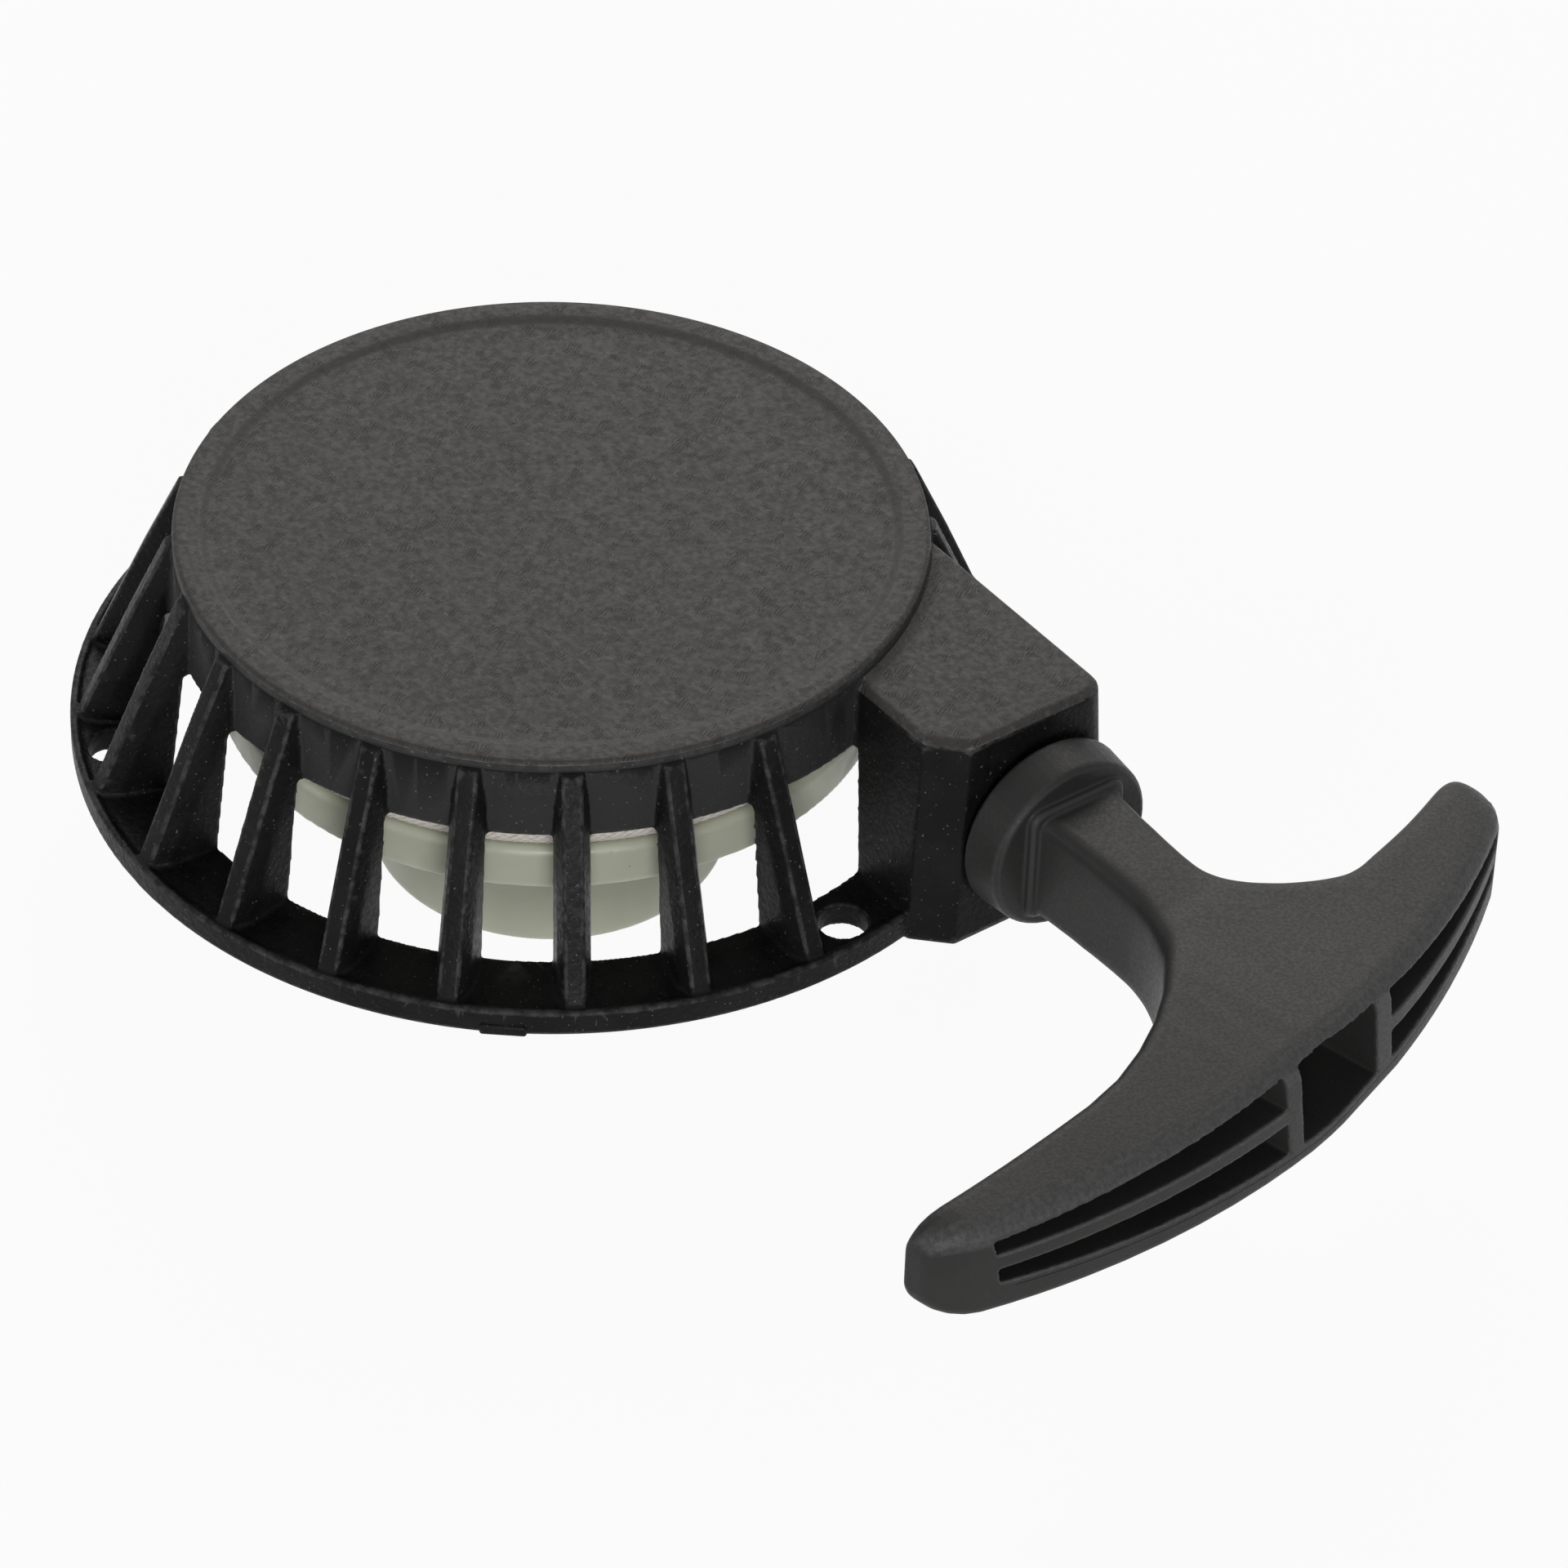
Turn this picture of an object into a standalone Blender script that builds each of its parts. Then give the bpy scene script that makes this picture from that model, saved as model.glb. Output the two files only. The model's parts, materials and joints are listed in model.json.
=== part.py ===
"""Recoil (pull) starter of a small two-stroke engine, in metres, +Z up.

A finned nylon cover carries a rope reel on its centre post. A flat spiral spring winds the
reel back, a braided rope runs off the reel through the outlet block to an angled T-grip.
The reel turns about +Z and the rope is pulled along +X.
"""

import math

import bmesh
import bpy
from mathutils import Matrix, Vector

MM = 0.001
GAP = 0.3 * MM  # running or assembly clearance between neighbouring pieces
TURN = 2 * math.pi
ROUND_STEPS = 72  # facets round the large turned pieces
SMALL_STEPS = 32  # facets round bores, collars and fasteners

# Where the reel axis meets the underside of the mounting flange, seen from the part's origin
AXIS_AT = (-33.77 * MM, -6.35 * MM, 18.5 * MM)

# Cover: flange, skirt and top, all measured from the reel axis and the flange underside
FLANGE_R = 62.5 * MM
FLANGE_INNER_R = 52.0 * MM
FLANGE_T = 3.3 * MM
FLANGE_EDGE = 0.4 * MM
FLANGE_LIP_W = 0.9 * MM  # low bead along the outer edge of the flange
FLANGE_LIP_H = 0.5 * MM
TOP_Z = 32.6 * MM
TOP_R = 48.6 * MM
TOP_EDGE_R = 0.8 * MM
RIM_W = 3.2 * MM
RIM_H = 0.4 * MM
SKIRT_BOTTOM_Z = 21.3 * MM
SKIRT_BOTTOM_R = 49.2 * MM
SKIRT_T = 2.8 * MM
CEILING_Z = 30.0 * MM
POST_R = 6.5 * MM
POST_END_Z = 9.3 * MM
SCREW_HOLE_R = 2.1 * MM
SCREW_HOLE_TOP_Z = 26.0 * MM

# Cooling fins between skirt and flange
FIN_PITCH = math.radians(15)
FIN_FIRST = math.radians(58)
FIN_COUNT = 21
FIN_OUTER_T = 2.5 * MM
FIN_FLANK_T = 4.2 * MM  # thickness behind the tapered outer edge
FIN_INNER_T = 4.7 * MM
FIN_FLANK_DEPTH = 2.6 * MM
FIN_TOP_Z = 31.0 * MM
FIN_TOP_R = 49.4 * MM
FIN_FOOT_R = 62.0 * MM
FIN_INNER_TOP_R = 49.8 * MM
FIN_ROOT = 1.2 * MM  # how far a fin reaches into what it joins

# Mounting holes, each in the middle of a bay between two fins
HOLE_R = 3.25 * MM
HOLE_CIRCLE_R = 57.4 * MM
HOLE_FIRST = math.radians(5)
HOLE_COUNT = 3

# Rope outlet block
ROPE_Y = 29.2 * MM
ROPE_Z = 14.6 * MM
BLOCK_TOP_Z = 30.4 * MM
BLOCK_FRONT_X = 64.4 * MM
BLOCK_BACK_X = 24.0 * MM
BLOCK_NEAR_Y = 14.3 * MM
BLOCK_FAR_Y = 40.2 * MM
BLOCK_CHAMFER = 4.3 * MM
BLOCK_CORNER_R = 3.2 * MM
BLOCK_DRAFT = 1.3 * MM  # growth of the front and far sides from top to bottom
BLOCK_NEAR_DRAFT = 2.2 * MM
BLOCK_BOTTOM_Z = -1.0 * MM
BLOCK_FOOT_R = 1.4 * MM
BLOCK_WALL = 3.2 * MM
FILLET_W = 2.3 * MM  # hollow fillet between the block's top and the skirt
FILLET_H = 1.3 * MM
FILLET_SPAN = (math.radians(18.2), math.radians(50.5))
FILLET_STATIONS = 12
OUTLET_WALL_X = 61.0 * MM
HOLLOW_BACK_X = 30.0 * MM
OUTLET_R = 3.7 * MM

# Reel
REEL_R = 44.0 * MM
REEL_LIP_Z = 8.0 * MM
REEL_LIP_T = 2.0 * MM
REEL_WEB_Z = 12.8 * MM
GROOVE_Z = 14.8 * MM
GROOVE_TOP_Z = 20.6 * MM
UPPER_FLANGE_Z = 22.4 * MM
UPPER_FLANGE_R = 43.4 * MM
DRUM_R = 28.6 * MM
CHAMBER_R = 23.4 * MM
CHAMBER_WALL_R = 25.6 * MM
CHAMBER_TOP_Z = 29.2 * MM
CHAMBER_FLOOR_T = 2.7 * MM
HUB_R = 10.2 * MM
HUB_END_Z = 9.6 * MM
CUP_TOP_R = 25.4 * MM
CUP_END_R = 23.6 * MM
CUP_END_Z = -18.5 * MM
CUP_WALL = 2.2 * MM
CUP_EDGE_R = 1.6 * MM
RAMP_COUNT = 4
RAMP_RISE = 2.8 * MM
RAMP_ARC = math.radians(68)
RAMP_TOP_Z = -1.0 * MM
RAMP_END_Z = -16.5 * MM
RIB_COUNT = 8
RIB_T = 1.8 * MM
RIB_END_Z = 9.5 * MM
KNOT_POCKET_R = 2.9 * MM
KNOT_POCKET_Z = (13.2 * MM, 19.2 * MM)
KNOT_AT_R = 22.4 * MM
KNOT_BEND_R = 2.6 * MM
REEL_KNOT_R = 2.4 * MM
REEL_KNOT_Z = 16.2 * MM

# Rope: diameter, and the flat spiral that it makes in the reel's groove
ROPE_R = 1.5 * MM
ROPE_LEVEL_Z = 16.6 * MM
WIND_OUTER_R = 42.0 * MM
WIND_PITCH = 3.45 * MM
WIND_START = math.radians(79)
WIND_TURNS = 3.25
LOOP_POINTS = 24
KNOT_ANGLE = WIND_START + TURN * WIND_TURNS

# Recoil spring: a flat strip wound between the post and the chamber wall
SPRING_T = 0.6 * MM
SPRING_Z = 20.9 * MM
SPRING_W = 7.0 * MM
SPRING_BEND_R = 1.5 * MM
SPRING_TANG_Y = -7.4 * MM
SPRING_INNER_R = math.hypot(SPRING_BEND_R, SPRING_TANG_Y - SPRING_BEND_R)
SPRING_OUTER_R = 22.4 * MM
SPRING_TURNS = 6.5
SPRING_START = math.atan2(SPRING_TANG_Y - SPRING_BEND_R, SPRING_BEND_R)
SPRING_END = SPRING_START + TURN * SPRING_TURNS
HOOK_BEND_R = 1.0 * MM
TANG_SLOT = 1.2 * MM

# Reel retainer
WASHER_R = 8.6 * MM
WASHER_T = 1.2 * MM
SCREW_R = 1.8 * MM
HEAD_R = 4.6 * MM
HEAD_H = 3.0 * MM
DRIVE_R = 2.3 * MM
DRIVE_DEPTH = 1.8 * MM

# Pull handle: collar, stem and crescent grip, with X measured from the reel axis
COLLAR_X = 65.9 * MM
COLLAR_END_X = 72.2 * MM
COLLAR_BACK_R = 12.5 * MM
COLLAR_R = 12.0 * MM
HANDLE_BORE_R = 2.4 * MM
GRIP_MID = Vector((114.4 * MM, ROPE_Y - 6.0 * MM))
GRIP_SKEW = math.radians(14)
GRIP_ENDS = (-57.6 * MM, 54.6 * MM)
GRIP_HALF = 54.0 * MM  # where the bar has its tip height
GRIP_REAR_R = 125.0 * MM
GRIP_REAR_N = 12.3 * MM
GRIP_FRONT_R = 293.0 * MM
GRIP_FRONT_N = -2.8 * MM
GRIP_FRONT_T = -5.0 * MM  # where along the bar its front bulges most
GRIP_SWELL = 0.8 * MM  # swelling of the front where the far flare runs into it
GRIP_SWELL_T = 30.0 * MM
GRIP_SWELL_W = 8.0 * MM
GRIP_MID_H = 18.4 * MM
GRIP_TIP_H = 13.6 * MM
GRIP_EDGES = (3.0 * MM, 1.8 * MM, 1.8 * MM, 1.0 * MM)  # rear top, front top, front bottom, rear bottom
TIP_LENGTH = 5.5 * MM
TIP_FLOOR = 0.5  # share of the section that is left at the very end
POCKET_T = (-4.7 * MM, 11.1 * MM)
NEAR_SLOT_T = (-50.5 * MM, -7.5 * MM)
FAR_SLOT_T = (14.6 * MM, 50.0 * MM)
SLOT_MID_H = 7.2 * MM
SLOT_TIP_H = 3.1 * MM
SLOT_RIB = 2.5 * MM
SLOT_LIFT = 0.8 * MM
SLOT_LEAN = -0.16  # sideways lean of the pocket walls for each unit of height
GRIP_WALL = 2.6 * MM
POCKET_FLOOR_N = -2.0 * MM
KNOT_R = 3.3 * MM
KNOT_X = 101.6 * MM
KNOT_WELL_R = 4.2 * MM
KNOT_WELL_X = (98.4 * MM, 116.0 * MM)
PULL_AT = Vector((COLLAR_X, ROPE_Y, ROPE_Z))
STEM_X = (71.0 * MM, 118.4 * MM)
STEM_STATIONS = 16
STEM_BUNCHING = 1.5  # above 1, the stations crowd towards the bar
STEM_WAIST = 5.5 * MM  # half width at the waist
STEM_WAIST_X = 85.0 * MM
STEM_ROOT_GROWTH = 1.0 * MM
STEM_TOP = 7.6 * MM
STEM_BOTTOM = -8.3 * MM
STEM_EDGE_R = 1.8 * MM
STEM_PAD_END_X = 73.4 * MM
STEM_PAD_HALF_W = 7.3 * MM
STEM_PAD_HALF_H = 8.5 * MM
NEAR_FLARE = (89.6 * MM, 119.2 * MM, 39.0 * MM)  # starts at X, ends at X, swings out by
FAR_FLARE = (89.6 * MM, 102.6 * MM, 19.0 * MM)
FLARE_POWER = 1.9  # 2 is an ellipse, less is flatter
FLARE_STATIONS = 10
FLARE_REACH_N = 18.0 * MM  # how far forward the bar runs into the stem
FLARE_INSET_N = -13.0 * MM  # forward of this the bar draws in, inside the stem
FLARE_INSET = 0.35
FLARE_LAG = 0.4 * MM  # how far the stem's own flare stays behind the bar's
FAR_RETREAT = 1.2  # slope at which the far edge draws in again, inside the bar


def material(name, colour, roughness, metallic=0.0):
    """A Principled material of one colour (linear RGB)."""
    made = bpy.data.materials.new(name)
    made.use_nodes = True
    shader = made.node_tree.nodes["Principled BSDF"]
    shader.inputs["Base Color"].default_value = (*colour, 1.0)
    shader.inputs["Roughness"].default_value = roughness
    shader.inputs["Metallic"].default_value = metallic
    return made


def add_object(name, bm, finish=None, parent=None, origin=Vector()):
    """Close a bmesh into a named object with smooth round faces."""
    bmesh.ops.remove_doubles(bm, verts=bm.verts, dist=1e-6)
    bmesh.ops.recalc_face_normals(bm, faces=bm.faces)
    bmesh.ops.translate(bm, verts=bm.verts, vec=-origin)
    mesh = bpy.data.meshes.new(name)
    bm.to_mesh(mesh)
    bm.free()
    mesh.shade_smooth()
    mesh.set_sharp_from_angle(angle=math.radians(30))
    made = bpy.data.objects.new(name, mesh)
    bpy.context.scene.collection.objects.link(made)
    made.parent = parent
    made.location = origin
    if finish:
        mesh.materials.append(finish)
    return made


def tool(name, bm, parent):
    """A guide object that only cuts or joins, and isn't a piece itself."""
    made = add_object(name, bm, parent=parent)
    made.hide_render = True
    made.display_type = "WIRE"
    return made


def combine(target, operation, other):
    modifier = target.modifiers.new(f"{operation.lower()}_{other.name}", "BOOLEAN")
    modifier.operation = operation
    modifier.object = other
    modifier.solver = "EXACT"


def arc(centre, radius, start, end, steps):
    """Points of an arc in a plane, both ends included."""
    turns = (start + (end - start) * i / steps for i in range(steps + 1))
    return [(centre[0] + radius * math.cos(a), centre[1] + radius * math.sin(a)) for a in turns]


def turned(profile, steps, closed):
    """Turn a profile of (radius, height) points once about Z."""
    bm = bmesh.new()
    verts = [bm.verts.new((r, 0, z)) for r, z in profile]
    pairs = list(zip(verts, verts[1:]))
    if closed:
        pairs.append((verts[-1], verts[0]))
    edges = [bm.edges.new(pair) for pair in pairs]
    bmesh.ops.spin(
        bm, geom=verts + edges, cent=(0, 0, 0), axis=(0, 0, 1), angle=TURN, steps=steps, use_merge=True
    )
    return bm


def prism(outline, bottom, top):
    """Pull an outline of (x, y) points up from one height to another."""
    bm = bmesh.new()
    face = bm.faces.new([bm.verts.new((x, y, bottom)) for x, y in outline])
    pulled = bmesh.ops.extrude_face_region(bm, geom=[face])
    raised = [v for v in pulled["geom"] if isinstance(v, bmesh.types.BMVert)]
    bmesh.ops.translate(bm, verts=raised, vec=(0, 0, top - bottom))
    return bm


def loft(sections):
    """Skin a row of equal loops of points and close both ends."""
    bm = bmesh.new()
    rings = [[bm.verts.new(p) for p in section] for section in sections]
    for ring, following in zip(rings, rings[1:]):
        for i in range(len(ring)):
            j = (i + 1) % len(ring)
            bm.faces.new((ring[i], ring[j], following[j], following[i]))
    bm.faces.new(list(reversed(rings[0])))
    bm.faces.new(rings[-1])
    return bm


def merged(parts):
    """One bmesh that holds several bmeshes side by side."""
    whole = bmesh.new()
    for part in parts:
        mesh = bpy.data.meshes.new("part")
        part.to_mesh(mesh)
        part.free()
        whole.from_mesh(mesh)
        bpy.data.meshes.remove(mesh)
    return whole


def turn_about_z(bm, angle):
    bmesh.ops.rotate(bm, verts=bm.verts, cent=(0, 0, 0), matrix=Matrix.Rotation(angle, 3, "Z"))
    return bm


def lay_along_rope(bm):
    """Move a piece turned about Z onto the pull axis, with its heights running along +X."""
    bmesh.ops.rotate(bm, verts=bm.verts, cent=(0, 0, 0), matrix=Matrix.Rotation(TURN / 4, 3, "Y"))
    bmesh.ops.translate(bm, verts=bm.verts, vec=(0, ROPE_Y, ROPE_Z))
    return bm


def round_bar(radius, bottom, top, steps=SMALL_STEPS):
    return turned([(0, top), (radius, top), (radius, bottom), (0, bottom)], steps, closed=False)


def tube_along(name, points, radius, finish, parent):
    """A round rope along a row of points."""
    curve = bpy.data.curves.new(name, "CURVE")
    curve.dimensions = "3D"
    curve.bevel_depth = radius
    curve.bevel_resolution = 1
    curve.use_fill_caps = True
    spline = curve.splines.new("POLY")
    spline.points.add(len(points) - 1)
    for point, place in zip(spline.points, points):
        point.co = (*place, 1)
    curve.materials.append(finish)
    made = bpy.data.objects.new(name, curve)
    bpy.context.scene.collection.objects.link(made)
    made.parent = parent
    return made


def cover_shell():
    """Top disc with its raised rim, the skirt, and the post that the reel turns on."""
    edge = arc((TOP_R - TOP_EDGE_R, TOP_Z - TOP_EDGE_R), TOP_EDGE_R, 0, TURN / 4, 4)
    rim_inner_r = TOP_R - TOP_EDGE_R - RIM_W
    profile = [
        (0, SCREW_HOLE_TOP_Z),
        (SCREW_HOLE_R, SCREW_HOLE_TOP_Z),
        (SCREW_HOLE_R, POST_END_Z),
        (POST_R, POST_END_Z),
        (POST_R, CEILING_Z),
        (SKIRT_BOTTOM_R - SKIRT_T, CEILING_Z),
        (SKIRT_BOTTOM_R - SKIRT_T, SKIRT_BOTTOM_Z),
        (SKIRT_BOTTOM_R, SKIRT_BOTTOM_Z),
        *edge,
        (rim_inner_r + RIM_H, TOP_Z),
        (rim_inner_r, TOP_Z - RIM_H),
        (0, TOP_Z - RIM_H),
    ]
    return turned(profile, ROUND_STEPS, closed=False)


def cover_flange():
    """Mounting ring with a low bead along its outer edge."""
    lip_z = FLANGE_T + FLANGE_LIP_H
    profile = [
        (FLANGE_INNER_R, 0),
        (FLANGE_R - FLANGE_EDGE, 0),
        (FLANGE_R, FLANGE_EDGE),
        (FLANGE_R, lip_z - FLANGE_EDGE / 2),
        (FLANGE_R - FLANGE_EDGE / 2, lip_z),
        (FLANGE_R - FLANGE_LIP_W, lip_z),
        (FLANGE_R - FLANGE_LIP_W - FLANGE_EDGE, FLANGE_T),
        (FLANGE_INNER_R, FLANGE_T),
    ]
    return turned(profile, ROUND_STEPS, closed=True)


def cover_fin(angle):
    """One upright fin: a narrow outer edge that slopes out to the flange, and thicker flanks behind it."""
    skin_r = TOP_R - FIN_ROOT
    foot_z = FLANGE_T - FIN_ROOT
    slope = (FIN_FOOT_R - FIN_TOP_R) / (FIN_TOP_Z - FLANGE_T)
    levels = [
        (foot_z, FLANGE_INNER_R),
        (SKIRT_BOTTOM_Z - FIN_ROOT / 2, FIN_INNER_TOP_R),
        (SKIRT_BOTTOM_Z + FIN_ROOT, skin_r - FIN_FLANK_DEPTH / 2),
        (FIN_TOP_Z, skin_r - FIN_FLANK_DEPTH / 2),
    ]
    sections = []
    for z, inner in levels:
        outer = FIN_TOP_R + slope * (FIN_TOP_Z - max(z, FLANGE_T))
        flank = max(outer - FIN_FLANK_DEPTH, inner + FIN_FLANK_DEPTH / 4)
        places = [(outer, FIN_OUTER_T), (flank, FIN_FLANK_T), (inner, FIN_INNER_T)]
        section = [(r, thick / 2, z) for r, thick in places]
        section += [(r, -thick / 2, z) for r, thick in reversed(places)]
        sections.append(section)
    return turn_about_z(loft(sections), angle)


def block_outline(share, inset):
    """Plan of the outlet block: a chamfered near corner and a rounded far corner."""
    front = BLOCK_FRONT_X + BLOCK_DRAFT * share - inset
    near = BLOCK_NEAR_Y - BLOCK_NEAR_DRAFT * share + inset
    far = BLOCK_FAR_Y + BLOCK_DRAFT * share - inset
    corner = (front - BLOCK_CORNER_R, far - BLOCK_CORNER_R)
    return [
        (BLOCK_BACK_X, near),
        (front - BLOCK_CHAMFER, near),
        (front, near + BLOCK_CHAMFER),
        *arc(corner, BLOCK_CORNER_R, 0, TURN / 4, 5),
        (BLOCK_BACK_X, far),
    ]


def cover_block():
    """Outlet block, drafted from its top down to a rounded foot."""
    edge = 0.8 * MM
    foot = arc((BLOCK_BOTTOM_Z + BLOCK_FOOT_R, BLOCK_FOOT_R), BLOCK_FOOT_R, TURN / 2, TURN * 0.75, 3)
    heights = foot + [(BLOCK_TOP_Z - edge, 0.0), (BLOCK_TOP_Z, edge)]
    sections = []
    for z, inset in heights:
        share = 1 - z / BLOCK_TOP_Z
        sections.append([(x, y, z) for x, y in block_outline(share, inset)])
    return loft(sections)


def block_fillet():
    """Hollow fillet that runs round the skirt on the block's top."""
    inner, outer = TOP_R - FIN_ROOT, TOP_R + FILLET_W
    rise = FILLET_H / FILLET_W
    hollow = arc((outer, 0), FILLET_W, TURN / 2, TURN * 0.75, 5)
    outline = [(inner, BLOCK_TOP_Z - MM), (inner, BLOCK_TOP_Z + FILLET_H)]
    outline += [(r, BLOCK_TOP_Z + FILLET_H + z * rise) for r, z in hollow]
    outline.append((outer, BLOCK_TOP_Z - MM))
    sections = []
    for i in range(FILLET_STATIONS + 1):
        angle = FILLET_SPAN[0] + (FILLET_SPAN[1] - FILLET_SPAN[0]) * i / FILLET_STATIONS
        sections.append([(r * math.cos(angle), r * math.sin(angle), z) for r, z in outline])
    return loft(sections)


def reel_space():
    """Room for the reel: the skirt's inside, and below it a cone that the fins' inner edges follow."""
    skin_r = TOP_R - FIN_ROOT
    profile = [
        (0, CEILING_Z + FIN_ROOT / 2),
        (skin_r, CEILING_Z + FIN_ROOT / 2),
        (skin_r, SKIRT_BOTTOM_Z + FIN_ROOT),
        (FIN_INNER_TOP_R, SKIRT_BOTTOM_Z - FIN_ROOT / 2),
        (FLANGE_INNER_R, FLANGE_T),
        (FLANGE_INNER_R, -5 * MM),
        (0, -5 * MM),
    ]
    return turned(profile, ROUND_STEPS, closed=False)


def block_hollow():
    """Space inside the outlet block, open to the reel and below."""
    outline = [
        (HOLLOW_BACK_X, BLOCK_NEAR_Y + BLOCK_WALL),
        (OUTLET_WALL_X, BLOCK_NEAR_Y + BLOCK_WALL + 2 * MM),
        (OUTLET_WALL_X, BLOCK_FAR_Y - BLOCK_WALL),
        (HOLLOW_BACK_X, BLOCK_FAR_Y - BLOCK_WALL + MM),
    ]
    return prism(outline, -5 * MM, BLOCK_TOP_Z - BLOCK_WALL)


def slot_block(start, end, side, bottom, top, width=TANG_SLOT):
    """A straight cutter along X between two heights, centred on y = side."""
    low, high = side - width / 2, side + width / 2
    return prism([(start, low), (end, low), (end, high), (start, high)], bottom, top)


def ring_positions(count, first, radius):
    angles = [first + TURN * i / count for i in range(count)]
    return [(radius * math.cos(a), radius * math.sin(a)) for a in angles]


def starter_cover(parent, finish):
    cover = add_object("starter_cover", cover_shell(), finish, parent)
    fins = [cover_fin(FIN_FIRST + FIN_PITCH * i) for i in range(FIN_COUNT)]
    holes = []
    for x, y in ring_positions(HOLE_COUNT, HOLE_FIRST, HOLE_CIRCLE_R):
        hole = round_bar(HOLE_R, -FLANGE_T, 2 * FLANGE_T)
        bmesh.ops.translate(hole, verts=hole.verts, vec=(x, y, 0))
        holes.append(hole)
    outlet = lay_along_rope(round_bar(OUTLET_R, OUTLET_WALL_X - 5 * MM, BLOCK_FRONT_X + 5 * MM))
    slot_reach = (-POST_R - MM, -POST_R + 2.6 * MM)
    post_slot = slot_block(*slot_reach, 0, SPRING_Z - 0.5 * MM, SPRING_Z + SPRING_W + MM)
    block = tool("outlet_block_body", cover_block(), parent)
    combine(block, "DIFFERENCE", tool("reel_room", reel_space(), parent))
    combine(cover, "UNION", tool("flange_ring", cover_flange(), parent))
    combine(cover, "UNION", tool("cooling_fins", merged(fins), parent))
    combine(cover, "UNION", block)
    combine(cover, "UNION", tool("skirt_fillet", block_fillet(), parent))
    combine(cover, "DIFFERENCE", tool("outlet_hollow", block_hollow(), parent))
    combine(cover, "DIFFERENCE", tool("outlet_bore", outlet, parent))
    combine(cover, "DIFFERENCE", tool("mounting_holes", merged(holes), parent))
    combine(cover, "DIFFERENCE", tool("spring_slot", turn_about_z(post_slot, TURN / 4), parent))


def rope_eyelet(parent, finish):
    """Rolled steel ferrule that keeps the rope off the moulding."""
    outer = OUTLET_R - GAP
    inner = ROPE_R + 0.6 * MM
    lip_r = outer + 1.4 * MM
    lip_x = OUTLET_WALL_X - GAP
    front_x = BLOCK_FRONT_X
    lip = arc((lip_r - 0.7 * MM, lip_x - 0.7 * MM), 0.7 * MM, 0, -TURN / 4, 4)
    profile = [
        (outer, front_x),
        (outer, lip_x),
        (lip_r - 0.7 * MM, lip_x),
        *lip,
        (inner + 0.8 * MM, lip_x - 1.4 * MM),
        (inner, lip_x - 0.6 * MM),
        (inner, front_x),
    ]
    add_object("rope_eyelet", lay_along_rope(turned(profile, SMALL_STEPS, closed=True)), finish, parent)


def reel_body():
    """Turned form of the reel, from the spring chamber down to the ratchet cup."""
    bore = POST_R + GAP
    cup_inner = CUP_END_R - CUP_WALL
    floor_z = GROOVE_TOP_Z - CHAMBER_FLOOR_T
    edge = arc((CUP_END_R - CUP_EDGE_R, CUP_END_Z + CUP_EDGE_R), CUP_EDGE_R, 0, -TURN / 4, 4)
    profile = [
        (CHAMBER_R, CHAMBER_TOP_Z),
        (CHAMBER_WALL_R, CHAMBER_TOP_Z),
        (CHAMBER_WALL_R, UPPER_FLANGE_Z),
        (UPPER_FLANGE_R, UPPER_FLANGE_Z),
        (UPPER_FLANGE_R, GROOVE_TOP_Z + 0.4 * MM),
        (DRUM_R, GROOVE_TOP_Z),
        (DRUM_R, GROOVE_Z),
        (REEL_R - 0.8 * MM, GROOVE_Z),
        (REEL_R, GROOVE_Z - 0.8 * MM),
        (REEL_R - 0.5 * MM, REEL_LIP_Z),
        (REEL_R - REEL_LIP_T, REEL_LIP_Z),
        (REEL_R - REEL_LIP_T, REEL_WEB_Z),
        (CUP_TOP_R, REEL_WEB_Z),
        *edge,
        (cup_inner, CUP_END_Z),
        (cup_inner, floor_z),
        (HUB_R, floor_z),
        (HUB_R, HUB_END_Z),
        (bore, HUB_END_Z),
        (bore, GROOVE_TOP_Z),
        (CHAMBER_R, GROOVE_TOP_Z),
    ]
    return turned(profile, ROUND_STEPS, closed=True)


def ratchet_ramp(angle):
    """One ramp inside the cup: it climbs inwards and ends in a step for a flywheel pawl."""
    wall = CUP_END_R - CUP_WALL
    steps = 10
    outer = arc((0, 0), wall + 0.8 * MM, 0, RAMP_ARC, steps)
    inner = []
    for i in range(steps + 1):
        share = i / steps
        r = wall + 0.3 * MM - (RAMP_RISE + 0.3 * MM) * share
        inner.append((r * math.cos(RAMP_ARC * share), r * math.sin(RAMP_ARC * share)))
    return turn_about_z(prism(outer + inner[::-1], RAMP_END_Z, RAMP_TOP_Z), angle)


def reel_rib(angle):
    """A web on the underside between the cup and the lip."""
    outline = [
        (CUP_TOP_R - 0.8 * MM, -RIB_T / 2),
        (REEL_R - REEL_LIP_T + 0.8 * MM, -RIB_T / 2),
        (REEL_R - REEL_LIP_T + 0.8 * MM, RIB_T / 2),
        (CUP_TOP_R - 0.8 * MM, RIB_T / 2),
    ]
    return turn_about_z(prism(outline, RIB_END_Z, REEL_WEB_Z + 0.8 * MM), angle)


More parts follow.
